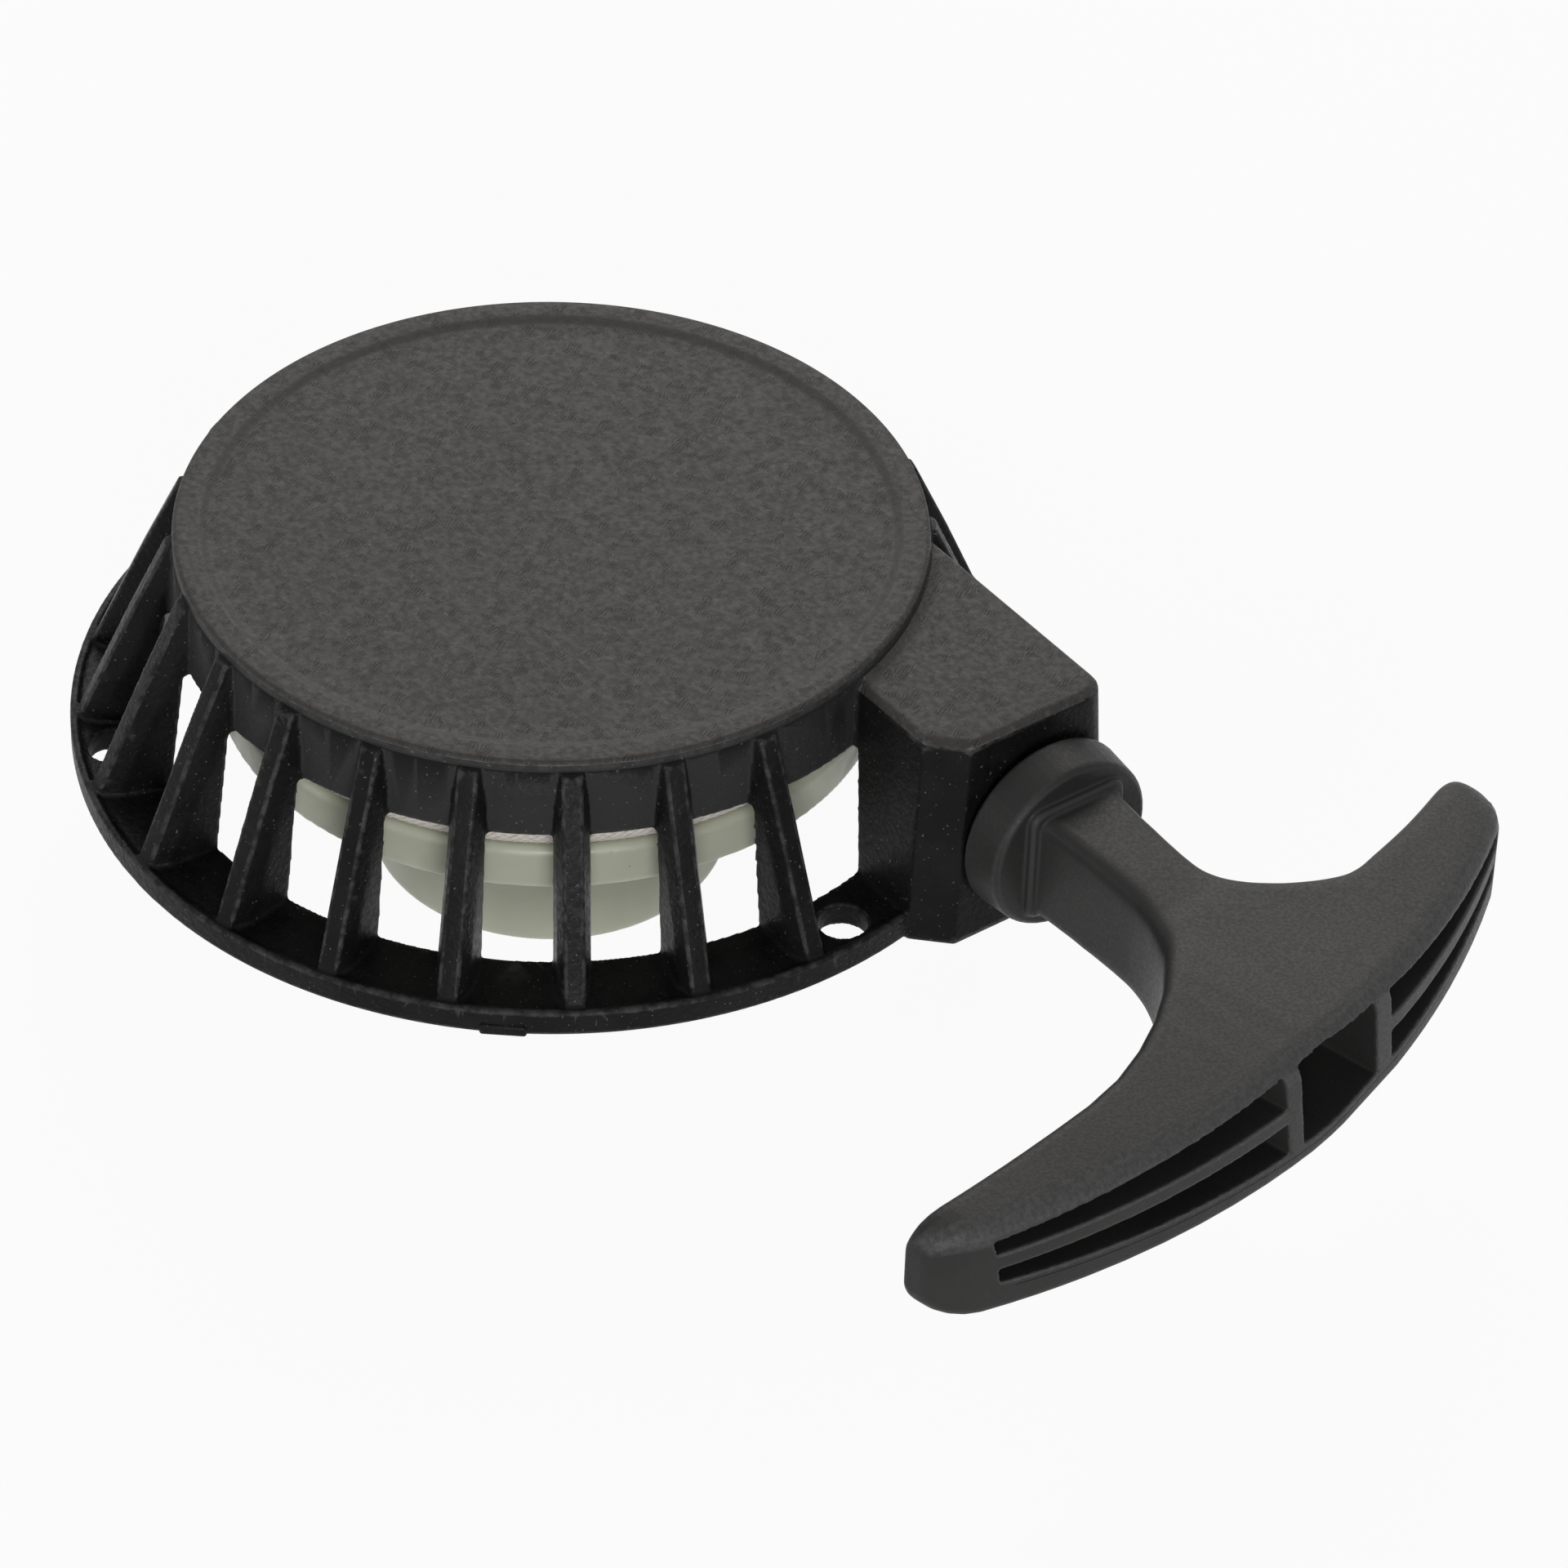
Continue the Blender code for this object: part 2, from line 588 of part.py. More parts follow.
def rope_reel(parent, finish):
    reel = add_object("rope_reel", reel_body(), finish, parent)
    ramps = [ratchet_ramp(TURN * i / RAMP_COUNT) for i in range(RAMP_COUNT)]
    ribs = [reel_rib(TURN * (i + 0.5) / RIB_COUNT) for i in range(RIB_COUNT)]
    pocket = round_bar(KNOT_POCKET_R, *KNOT_POCKET_Z, 20)
    bmesh.ops.translate(pocket, verts=pocket.verts, vec=(KNOT_AT_R, KNOT_BEND_R, 0))
    reach = ROPE_R + GAP
    way_out = slot_block(
        KNOT_AT_R, DRUM_R + 2 * MM, KNOT_BEND_R, ROPE_LEVEL_Z - reach, ROPE_LEVEL_Z + reach, 2 * reach
    )
    hook_slot = slot_block(
        CHAMBER_R - MM, CHAMBER_WALL_R + MM, HOOK_BEND_R, GROOVE_TOP_Z - GAP, CHAMBER_TOP_Z + MM
    )
    combine(reel, "UNION", tool("ratchet_ramps", merged(ramps), parent))
    combine(reel, "UNION", tool("reel_ribs", merged(ribs), parent))
    combine(reel, "DIFFERENCE", tool("knot_pocket", turn_about_z(pocket, KNOT_ANGLE), parent))
    combine(reel, "DIFFERENCE", tool("rope_way_out", turn_about_z(way_out, KNOT_ANGLE), parent))
    combine(reel, "DIFFERENCE", tool("hook_slot", turn_about_z(hook_slot, SPRING_END), parent))


def winding_points():
    """A flat spiral that closes in from the leaving point to the drum."""
    count = int(LOOP_POINTS * WIND_TURNS)
    points = []
    for i in range(count + 1):
        turns = WIND_TURNS * i / count
        angle = WIND_START + TURN * turns
        r = WIND_OUTER_R - WIND_PITCH * turns
        points.append(Vector((r * math.cos(angle), r * math.sin(angle), ROPE_LEVEL_Z)))
    return points


def least_gap(points, radius, apart):
    """Smallest clear distance between stretches of one tube that lie over a loop apart."""
    gaps = []
    for i, a in enumerate(points):
        gaps.extend((a - b).length for b in points[i + apart:])
    return min(gaps) - 2 * radius


def rope_winding(parent, finish):
    """The wound rope, with a bend at the drum that takes its end in towards the knot."""
    points = winding_points()
    radial = Vector((math.cos(KNOT_ANGLE), math.sin(KNOT_ANGLE), 0))
    along = Vector((-radial.y, radial.x, 0))
    bend_centre = points[-1] - KNOT_BEND_R * radial
    for i in range(1, 6):
        swing = TURN / 4 * i / 5
        points.append(bend_centre + KNOT_BEND_R * (math.cos(swing) * radial + math.sin(swing) * along))
    points.append(points[-1] - 2 * ROPE_R * radial)
    points.insert(0, points[0] + 2 * ROPE_R * leaving_direction())
    print("least gap between turns, mm:", round(least_gap(points, ROPE_R, LOOP_POINTS // 2) / MM, 3))
    tube_along("rope_winding", points, ROPE_R, finish, parent)


def leaving_direction():
    return Vector((math.sin(WIND_START), -math.cos(WIND_START), 0))


def rope_lead(parent, finish):
    """The stretch from the reel to the outlet: it drops from groove level to outlet level."""
    away = leaving_direction()
    start = winding_points()[0] + (2 * ROPE_R + GAP) * away
    first = start + 2 * ROPE_R * away
    last = Vector((OUTLET_WALL_X - 2 * MM, ROPE_Y, ROPE_Z))
    pulls = (first, first + 16 * MM * away, last - Vector((14 * MM, 0, 0)), last)
    points = [start]
    for i in range(13):
        u = i / 12
        weights = ((1 - u) ** 3, 3 * u * (1 - u) ** 2, 3 * u * u * (1 - u), u ** 3)
        points.append(sum((w * p for w, p in zip(weights, pulls)), Vector()))
    points.append(Vector((COLLAR_X, ROPE_Y, ROPE_Z)))
    tube_along("rope_lead", points, ROPE_R, finish, parent)


def rope_tail(parent, finish):
    """The end of the rope inside the handle, with its stopper knot drawn as two lobes."""
    lobes = []
    for i in range(2):
        centre = (0, KNOT_X + i * 1.5 * KNOT_R)
        lobes += arc(centre, KNOT_R, math.radians(-48), math.radians(48), 6)
    profile = [(0, COLLAR_X + GAP), (ROPE_R, COLLAR_X + GAP), (ROPE_R, lobes[0][1]), *lobes]
    profile += [(ROPE_R, lobes[-1][1]), (ROPE_R, lobes[-1][1] + 2 * MM), (0, lobes[-1][1] + 2 * MM)]
    add_object("rope_tail", lay_along_rope(turned(profile, 20, closed=False)), finish, parent, PULL_AT)


def reel_knot(parent, finish):
    """The knot that holds the rope's inner end in the reel."""
    bm = bmesh.new()
    bmesh.ops.create_uvsphere(bm, u_segments=16, v_segments=10, radius=REEL_KNOT_R)
    bmesh.ops.translate(bm, verts=bm.verts, vec=(KNOT_AT_R, KNOT_BEND_R, REEL_KNOT_Z))
    add_object("reel_knot", turn_about_z(bm, KNOT_ANGLE), finish, parent)


def recoil_spring(parent, finish):
    """Flat strip from a tang in the post, round in a spiral, to a tang in the chamber wall."""
    bend = SPRING_BEND_R
    path = [(0, -POST_R + 2 * MM), *arc((bend, SPRING_TANG_Y), bend, TURN / 2, TURN * 0.75, 5)]
    count = int(LOOP_POINTS * SPRING_TURNS)
    for i in range(1, count + 1):
        angle = SPRING_START + (SPRING_END - SPRING_START) * i / count
        r = SPRING_INNER_R + (SPRING_OUTER_R - SPRING_INNER_R) * i / count
        path.append((r * math.cos(angle), r * math.sin(angle)))
    radial = Vector((math.cos(SPRING_END), math.sin(SPRING_END)))
    along = Vector((-radial.y, radial.x))
    for i in range(1, 5):
        swing = TURN / 4 * i / 4
        reach = SPRING_OUTER_R + HOOK_BEND_R * (1 - math.cos(swing))
        path.append(tuple(reach * radial + HOOK_BEND_R * math.sin(swing) * along))
    path.append(tuple((CHAMBER_WALL_R - GAP) * radial + HOOK_BEND_R * along))
    sections = []
    for i, place in enumerate(path):
        before = Vector(path[max(i - 1, 0)])
        after = Vector(path[min(i + 1, len(path) - 1)])
        way = (after - before).normalized()
        side = Vector((-way.y, way.x)) * SPRING_T / 2
        edges = (Vector(place) - side, Vector(place) + side)
        low, high = SPRING_Z, SPRING_Z + SPRING_W
        sections.append([(*edges[0], low), (*edges[1], low), (*edges[1], high), (*edges[0], high)])
    add_object("recoil_spring", loft(sections), finish, parent)


def reel_retainer(parent, finish):
    washer_top = POST_END_Z - GAP
    washer_bottom = washer_top - WASHER_T
    inner = SCREW_R + GAP
    ring = [(inner, washer_top), (WASHER_R, washer_top), (WASHER_R, washer_bottom), (inner, washer_bottom)]
    add_object("retaining_washer", turned(ring, SMALL_STEPS, closed=True), finish, parent)
    head_top = washer_bottom - GAP
    head_bottom = head_top - HEAD_H
    dome = 0.9 * MM
    screw = [
        (0, SCREW_HOLE_TOP_Z - MM),
        (SCREW_R, SCREW_HOLE_TOP_Z - MM),
        (SCREW_R, head_top),
        (HEAD_R, head_top),
        (HEAD_R, head_bottom + dome),
        (HEAD_R - dome, head_bottom),
        (0, head_bottom),
    ]
    made = add_object("retaining_screw", turned(screw, SMALL_STEPS, closed=False), finish, parent)
    recess = bmesh.new()
    bmesh.ops.create_cone(
        recess, cap_ends=True, segments=6, radius1=DRIVE_R, radius2=DRIVE_R, depth=2 * DRIVE_DEPTH
    )
    bmesh.ops.translate(recess, verts=recess.verts, vec=(0, 0, head_bottom))
    combine(made, "DIFFERENCE", tool("hex_recess", recess, parent))


def rounded_section(low, high, bottoms, tops, radii):
    """A four-sided section with its own radius at each corner, as (across, up) points.

    bottoms and tops hold the heights at the low and at the high side.
    """
    points = []
    corners = (
        (high, tops[1], -1, -1),
        (low, tops[0], 1, -1),
        (low, bottoms[0], 1, 1),
        (high, bottoms[1], -1, 1),
    )
    for quarter, ((across, up, inward, downward), radius) in enumerate(zip(corners, radii)):
        centre = (across + inward * radius, up + downward * radius)
        points += arc(centre, radius, TURN / 4 * quarter, TURN / 4 * (quarter + 1), 3)
    return points


def grip_place(t, n, up):
    """A point of the grip: t along the bar, n towards its rear, up from the pull axis."""
    x = GRIP_MID.x + n * math.cos(GRIP_SKEW) - t * math.sin(GRIP_SKEW)
    y = GRIP_MID.y + n * math.sin(GRIP_SKEW) + t * math.cos(GRIP_SKEW)
    return (x, y, ROPE_Z + up)


def along_grip(x, y):
    """The t and n of a place in the plan."""
    dx, dy = x - GRIP_MID.x, y - GRIP_MID.y
    t = dy * math.cos(GRIP_SKEW) - dx * math.sin(GRIP_SKEW)
    return t, dx * math.cos(GRIP_SKEW) + dy * math.sin(GRIP_SKEW)


def grip_rear(t):
    return GRIP_REAR_N - GRIP_REAR_R + math.sqrt(GRIP_REAR_R ** 2 - t * t)


def grip_front(t):
    swell = GRIP_SWELL * math.exp(-(((t - GRIP_SWELL_T) / GRIP_SWELL_W) ** 2))
    return GRIP_FRONT_N - GRIP_FRONT_R + math.sqrt(GRIP_FRONT_R ** 2 - (t - GRIP_FRONT_T) ** 2) - swell


def flare(x, start, end, reach):
    """How far an edge of the stem has swung out by x, on nearly a quarter ellipse."""
    share = min(max((x - start) / (end - start), 0), 1)
    return reach * (1 - (1 - share ** FLARE_POWER) ** (1 / FLARE_POWER))


def flare_stations(side, start, end, reach):
    """Stations of the bar along one flare, from the stem outwards: t, front edge, closing of the tip."""
    stations = []
    for i in range(1, FLARE_STATIONS + 1):
        x = start + (end - start) * math.sin(TURN / 4 * i / FLARE_STATIONS)
        t, n = along_grip(x, ROPE_Y + side * (STEM_WAIST + flare(x, start, end, reach)))
        n += FLARE_INSET * max(FLARE_INSET_N - n, 0)
        stations.append((t, min(n, grip_front(t)), 0.0))
    return stations


def bar_stations():
    """Stations along the whole bar, from the near tip to the far one."""
    near, far = GRIP_ENDS
    first, last = near + TIP_LENGTH, far - TIP_LENGTH
    tip = [math.sin(TURN / 4 * i / 5) for i in range(1, 6)]
    near_flare = flare_stations(-1, *NEAR_FLARE)[::-1]
    far_flare = flare_stations(1, *FAR_FLARE)
    stations = [(first - TIP_LENGTH * u, u) for u in reversed(tip)]
    stations += [(first + (near_flare[0][0] - first) * i / 4, 0.0) for i in range(4)]
    beyond = [(last + (far_flare[-1][0] - last) * i / 4, 0.0) for i in range(3, -1, -1)]
    beyond += [(last + TIP_LENGTH * u, u) for u in tip]
    outer = [[(t, grip_front(t), u) for t, u in wing] for wing in (stations, beyond)]
    return outer[0] + near_flare + far_flare + outer[1]


def grip_bar():
    """Crescent bar with both flares, lofted through rounded sections that close in over each tip."""
    sections = []
    for t, edge, u in bar_stations():
        left = TIP_FLOOR + (1 - TIP_FLOOR) * math.sqrt(max(1 - u * u, 0))
        half_h = left * (GRIP_MID_H + (GRIP_TIP_H - GRIP_MID_H) * min(abs(t) / GRIP_HALF, 1)) / 2
        front = edge + (1 - left) * TIP_LENGTH / 4
        rear = front + left * (grip_rear(t) - front)
        forward = min(max(grip_front(t) - edge, 0) / FLARE_REACH_N, 1)
        tops = (half_h + (STEM_TOP + GAP / 4 - half_h) * forward, half_h)
        bottoms = (-half_h + (STEM_BOTTOM - GAP / 4 + half_h) * forward, -half_h)
        radii = [min(radius, 0.4 * (rear - front)) for radius in GRIP_EDGES]
        section = rounded_section(front, rear, bottoms, tops, radii)
        sections.append([grip_place(t, n, up) for n, up in section])
    return loft(sections)


def grip_stem():
    """Stem from the collar, waisted in the middle, flaring out into both wings of the bar."""
    first, last = STEM_X
    sections = []
    for i in range(STEM_STATIONS + 1):
        x = last - (last - first) * (1 - i / STEM_STATIONS) ** STEM_BUNCHING
        root = max(1 - (x - first) / (STEM_WAIST_X - first), 0)
        waist = STEM_WAIST + STEM_ROOT_GROWTH * root ** 2
        behind = x - FLARE_LAG * min(max((x - NEAR_FLARE[0]) / (last - NEAR_FLARE[0]), 0), 1)
        near = -waist - flare(behind, *NEAR_FLARE)
        far = waist + flare(behind, *FAR_FLARE) - FAR_RETREAT * max(x - FAR_FLARE[1], 0)
        section = rounded_section(near, far, [STEM_BOTTOM] * 2, [STEM_TOP] * 2, [STEM_EDGE_R] * 4)
        sections.append([(x, ROPE_Y + y, ROPE_Z + up) for y, up in section])
    return loft(sections)


def stem_pad():
    """Low step where the stem leaves the collar."""
    wide, high = STEM_PAD_HALF_W, STEM_PAD_HALF_H
    sections = []
    for x, inset in ((STEM_X[0], 0), (STEM_PAD_END_X - 0.4 * MM, 0), (STEM_PAD_END_X, 0.4 * MM)):
        bottoms, tops = [inset - high] * 2, [high - inset] * 2
        section = rounded_section(inset - wide, wide - inset, bottoms, tops, [STEM_EDGE_R] * 4)
        sections.append([(x, ROPE_Y + y, ROPE_Z + up) for y, up in section])
    return loft(sections)


def grip_pocket(ends, side, floor=None):
    """A tapering pocket from the rear of the bar: above the middle rib (side 1), below (-1) or whole (0)."""
    sections = []
    for i in range(7):
        t = ends[0] + (ends[1] - ends[0]) * i / 6
        half = SLOT_MID_H + (SLOT_TIP_H - SLOT_MID_H) * abs(t) / GRIP_HALF
        low, high = sorted((side * SLOT_RIB / 2, side * half)) if side else (-half, half)
        bottom = grip_front(t) + GRIP_WALL if floor is None else floor
        mouth = grip_rear(t) + 8 * MM
        corners = ((bottom, low), (mouth, low), (mouth, high), (bottom, high))
        sections.append([grip_place(t + SLOT_LEAN * up, n, up + SLOT_LIFT) for n, up in corners])
    return loft(sections)


def pull_handle(parent, finish):
    edge = 0.6 * MM
    collar = [
        (0, COLLAR_END_X),
        (COLLAR_R - edge, COLLAR_END_X),
        (COLLAR_R, COLLAR_END_X - edge),
        (COLLAR_BACK_R, COLLAR_X + edge),
        (COLLAR_BACK_R - edge, COLLAR_X),
        (0, COLLAR_X),
    ]
    collar_bm = lay_along_rope(turned(collar, 48, closed=False))
    handle = add_object("pull_handle", collar_bm, finish, parent, PULL_AT)
    bore = lay_along_rope(round_bar(HANDLE_BORE_R, COLLAR_X - 5 * MM, KNOT_X, 20))
    well = lay_along_rope(round_bar(KNOT_WELL_R, *KNOT_WELL_X, 20))
    pockets = [grip_pocket(ends, side) for ends in (NEAR_SLOT_T, FAR_SLOT_T) for side in (1, -1)]
    pockets.append(grip_pocket(POCKET_T, 0, POCKET_FLOOR_N))
    combine(handle, "UNION", tool("stem_pad", stem_pad(), parent))
    combine(handle, "UNION", tool("handle_stem", grip_stem(), parent))
    combine(handle, "UNION", tool("handle_bar", grip_bar(), parent))
    combine(handle, "DIFFERENCE", tool("grip_pockets", merged(pockets), parent))
    combine(handle, "DIFFERENCE", tool("handle_bore", bore, parent))
    combine(handle, "DIFFERENCE", tool("knot_well", well, parent))


def main():
    for old in list(bpy.data.objects):
        bpy.data.objects.remove(old)
    root = bpy.data.objects.new("starter_axis", None)
    bpy.context.scene.collection.objects.link(root)
    root.location = AXIS_AT
    nylon = material("black_glass_filled_nylon", (0.035, 0.034, 0.033), 0.55)
    grip = material("charcoal_nylon", (0.045, 0.044, 0.043), 0.5)
    acetal = material("pale_green_acetal", (0.36, 0.39, 0.3), 0.35)
    braid = material("braided_polyester", (0.75, 0.7, 0.63), 0.8)
    spring_steel = material("blued_spring_steel", (0.2, 0.21, 0.23), 0.3, 1.0)
    zinc = material("zinc_plated_steel", (0.6, 0.6, 0.58), 0.35, 1.0)
    starter_cover(root, nylon)
    rope_eyelet(root, zinc)
    recoil_spring(root, spring_steel)
    rope_reel(root, acetal)
    rope_winding(root, braid)
    reel_knot(root, braid)
    rope_lead(root, braid)
    rope_tail(root, braid)
    pull_handle(root, grip)
    reel_retainer(root, zinc)


main()
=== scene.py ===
# %% [markdown]
# # A recoil starter, finished in Blender
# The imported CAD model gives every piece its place, size and motion. This lesson adds what the
# eye sees: rounded moulded edges, grained nylon, a milky reel and a braided rope. Each step says
# what the real piece is, how it could be made, and why it is made this way here.

# %% Load the frame and find the places that everything is measured from
import json
import math

import bmesh
import bpy
import numpy as np
from mathutils import Matrix, Vector


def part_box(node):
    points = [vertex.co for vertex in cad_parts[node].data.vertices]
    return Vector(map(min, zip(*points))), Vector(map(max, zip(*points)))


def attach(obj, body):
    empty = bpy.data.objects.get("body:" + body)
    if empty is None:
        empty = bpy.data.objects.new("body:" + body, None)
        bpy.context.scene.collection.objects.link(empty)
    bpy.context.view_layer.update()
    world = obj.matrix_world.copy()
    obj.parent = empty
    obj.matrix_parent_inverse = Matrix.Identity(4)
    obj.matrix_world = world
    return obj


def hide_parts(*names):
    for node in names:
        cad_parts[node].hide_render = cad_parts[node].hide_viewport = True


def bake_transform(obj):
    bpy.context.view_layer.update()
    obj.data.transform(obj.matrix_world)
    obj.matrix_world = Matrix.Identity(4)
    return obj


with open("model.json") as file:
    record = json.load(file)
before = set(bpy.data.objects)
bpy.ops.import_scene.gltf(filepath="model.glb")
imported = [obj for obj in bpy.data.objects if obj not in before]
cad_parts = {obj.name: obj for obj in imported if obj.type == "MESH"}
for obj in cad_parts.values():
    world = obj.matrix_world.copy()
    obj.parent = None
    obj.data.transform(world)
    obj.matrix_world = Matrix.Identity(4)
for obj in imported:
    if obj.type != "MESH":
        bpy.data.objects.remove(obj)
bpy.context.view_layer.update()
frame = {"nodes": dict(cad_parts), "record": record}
MM = 0.001
TURN = 2 * math.pi

joints = {joint["name"]: joint for joint in frame["record"]["behaviour"]["joints"]}
flange_level = frame["record"]["mounts"][0]["pos_m"][2]
REEL_AXIS = Vector((*joints["reel_spin"]["pos_m"][:2], flange_level))
eyelet_low, eyelet_high = (Vector(corner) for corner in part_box("rope_eyelet"))
ROPE_LINE = (eyelet_low + eyelet_high) / 2 - REEL_AXIS
ROPE_LINE.x = 0
print("reel axis, mm:", [round(v / MM, 2) for v in REEL_AXIS])
print("rope line from it, mm:", [round(v / MM, 2) for v in ROPE_LINE])

# %% [markdown]
# ## The camera
# The photograph was taken from above the handle with a long lens, so upright edges stay almost
# parallel. The angles below were fitted to the flange, the top disc and the fins. A camera could
# also be aimed with a Track To constraint, but a matrix built from three directions keeps the
# small roll of the photograph.

# %% Camera
AZIMUTH = math.radians(52.44)
ELEVATION = math.radians(39.55)
ROLL = math.radians(1.98)
DISTANCE = 949.69 * MM
FRAME_WIDTH_PX = 1920
FOCAL_PX = 9000
SENSOR_MM = 36
AIM_UP = 20 * MM
AIM_SHIFT = (30.07 * MM, -23.83 * MM)

level_right = Vector((math.cos(AZIMUTH), math.sin(AZIMUTH), 0))
backward = Vector((
    math.sin(AZIMUTH) * math.cos(ELEVATION),
    -math.cos(AZIMUTH) * math.cos(ELEVATION),
    math.sin(ELEVATION),
))
level_up = backward.cross(level_right)
right = math.cos(ROLL) * level_right + math.sin(ROLL) * level_up
up = math.cos(ROLL) * level_up - math.sin(ROLL) * level_right
aim = REEL_AXIS + Vector((0, 0, AIM_UP)) + AIM_SHIFT[0] * right + AIM_SHIFT[1] * up

lens = bpy.data.cameras.new("photo_lens")
lens.sensor_width = SENSOR_MM
lens.lens = FOCAL_PX / FRAME_WIDTH_PX * SENSOR_MM
lens.clip_end = 10
camera = bpy.data.objects.new("photo_camera", lens)
turned = Matrix((right, up, backward)).transposed().to_4x4()
camera.matrix_world = Matrix.Translation(aim + DISTANCE * backward) @ turned
bpy.context.scene.collection.objects.link(camera)
bpy.context.scene.camera = camera
print("camera at", [round(v, 3) for v in camera.matrix_world.translation])

# %% [markdown]
# ## Floor, background and light
# The object is shown on plain white. The floor is white to the camera and still takes a faint
# shadow, because its shader mixes a little lit white into a plain glow. The light is one broad
# soft lamp behind the object, with weak fills in front. Level faces then shine towards the camera,
# slopes that face the lamp shine more, and the upright walls and the near flange stay dark.

# %% White to the camera, lit white to everything else
def white_to_camera(tree, lit_shader, glow_type, share):
    """Mix a plain white glow into a shader, for camera, mirror and glass rays only."""
    rays = tree.nodes.new("ShaderNodeLightPath")
    seen = rays.outputs["Is Camera Ray"]
    for kind in ("Is Glossy Ray", "Is Transmission Ray"):
        either = tree.nodes.new("ShaderNodeMath")
        either.operation = "MAXIMUM"
        tree.links.new(seen, either.inputs[0])
        tree.links.new(rays.outputs[kind], either.inputs[1])
        seen = either.outputs[0]
    part = tree.nodes.new("ShaderNodeMath")
    part.operation = "MULTIPLY"
    part.inputs[1].default_value = share
    tree.links.new(seen, part.inputs[0])
    glow = tree.nodes.new(glow_type)
    glow.inputs["Color"].default_value = (1, 1, 1, 1)
    glow.inputs["Strength"].default_value = 1.0
    mix = tree.nodes.new("ShaderNodeMixShader")
    tree.links.new(part.outputs[0], mix.inputs["Fac"])
    tree.links.new(lit_shader.outputs[0], mix.inputs[1])
    tree.links.new(glow.outputs[0], mix.inputs[2])
    return mix


# %% World and floor
PAPER_GLOW = 0.94  # the rest is lit white, which takes the shadow
FLOOR_HALF = 3
FLOOR_DROP = 0.2 * MM

world = bpy.data.worlds.new("studio")
bpy.context.scene.world = world
world.use_nodes = True
room = world.node_tree.nodes["Background"]
room.inputs["Color"].default_value = (0.92, 0.96, 1.0, 1)
room.inputs["Strength"].default_value = 0.14
sky = white_to_camera(world.node_tree, room, "ShaderNodeBackground", 1.0)
world.node_tree.links.new(sky.outputs[0], world.node_tree.nodes["World Output"].inputs["Surface"])

paper = bpy.data.materials.new("white_paper")
paper.use_nodes = True
sheet = paper.node_tree.nodes["Principled BSDF"]
sheet.inputs["Base Color"].default_value = (0.9, 0.9, 0.9, 1)
sheet.inputs["Roughness"].default_value = 0.9
sheet.inputs["Specular IOR Level"].default_value = 0.1
lit = white_to_camera(paper.node_tree, sheet, "ShaderNodeEmission", PAPER_GLOW)
paper_out = paper.node_tree.nodes["Material Output"]
paper.node_tree.links.new(lit.outputs[0], paper_out.inputs["Surface"])

bm = bmesh.new()
bmesh.ops.create_grid(bm, x_segments=1, y_segments=1, size=FLOOR_HALF)
floor_mesh = bpy.data.meshes.new("floor")
bm.to_mesh(floor_mesh)
bm.free()
floor = bpy.data.objects.new("floor", floor_mesh)
floor.location.z = -FLOOR_DROP
floor_mesh.materials.append(paper)
bpy.context.scene.collection.objects.link(floor)
print("white ground:", world.name, "and", floor.name)


# %% Lamps
def soft_lamp(name, place, size, watts, colour=(1, 1, 1)):
    lamp = bpy.data.lights.new(name, "AREA")
    lamp.shape = "DISK"
    lamp.size = size
    lamp.energy = watts
    lamp.color = colour
    made = bpy.data.objects.new(name, lamp)
    made.location = place
    made.rotation_euler = (-Vector(place)).to_track_quat("-Z", "Y").to_euler()
    bpy.context.scene.collection.objects.link(made)


soft_lamp("low_back", (-0.84, 0.65, 0.83), 0.9, 6.3, (1.0, 0.97, 0.93))
soft_lamp("side_fill", (-0.4, -1.2, 0.4), 0.5, 1.3)
soft_lamp("front_fill", (1.1, -0.7, 0.4), 0.5, 8.0)
bpy.context.scene.view_settings.view_transform = "Standard"

# %% [markdown]
# ## Black nylon
# The cover is glass-filled nylon. Its mould was etched, so the top carries a leather grain: soft pebbles
# under a millimetre wide, with bunches of short parallel creases. On the top the raised pebbles are
# painted paler, as painted light, and the creases darker, as painted shade. The walls came out of
# polished steel and show a slight ripple. Pale specks on them are painted glints of the fibres at the
# skin, and their outer edges are painted paler, as a painted highlight with some wear. An image would tie
# the grain to a flat map, so the pattern is built from noise in Object coordinates, in metres: a noise
# scale of 1000 gives features about a millimetre wide.

# %% Small helpers for material nodes
def new_finish(name, colour, roughness, metallic=0.0, specular=0.5):
    made = bpy.data.materials.new(name)
    made.use_nodes = True
    shader = made.node_tree.nodes["Principled BSDF"]
    shader.inputs["Base Color"].default_value = (*colour, 1)
    shader.inputs["Roughness"].default_value = roughness
    shader.inputs["Metallic"].default_value = metallic
    shader.inputs["Specular IOR Level"].default_value = specular
    return made, made.node_tree, shader


def object_place(tree):
    return tree.nodes.new("ShaderNodeTexCoord").outputs["Object"]


def mesh_value(tree, name):
    """A number stored on the mesh's vertices."""
    made = tree.nodes.new("ShaderNodeAttribute")
    made.attribute_name = name
    return made.outputs["Fac"]


def noise(tree, vector, scale, detail=2.0, roughness=0.5):
    made = tree.nodes.new("ShaderNodeTexNoise")
    made.inputs["Scale"].default_value = scale
    made.inputs["Detail"].default_value = detail
    made.inputs["Roughness"].default_value = roughness
    tree.links.new(vector, made.inputs["Vector"])
    return made.outputs["Fac"]


def rescale(tree, value, low, high, to_low=0.0, to_high=1.0):
    """Map low..high smoothly to another range and hold its ends outside."""
    made = tree.nodes.new("ShaderNodeMapRange")
    made.interpolation_type = "SMOOTHSTEP"
    for socket, number in zip(made.inputs[1:5], (low, high, to_low, to_high)):
        socket.default_value = number
    tree.links.new(value, made.inputs[0])
    return made.outputs[0]


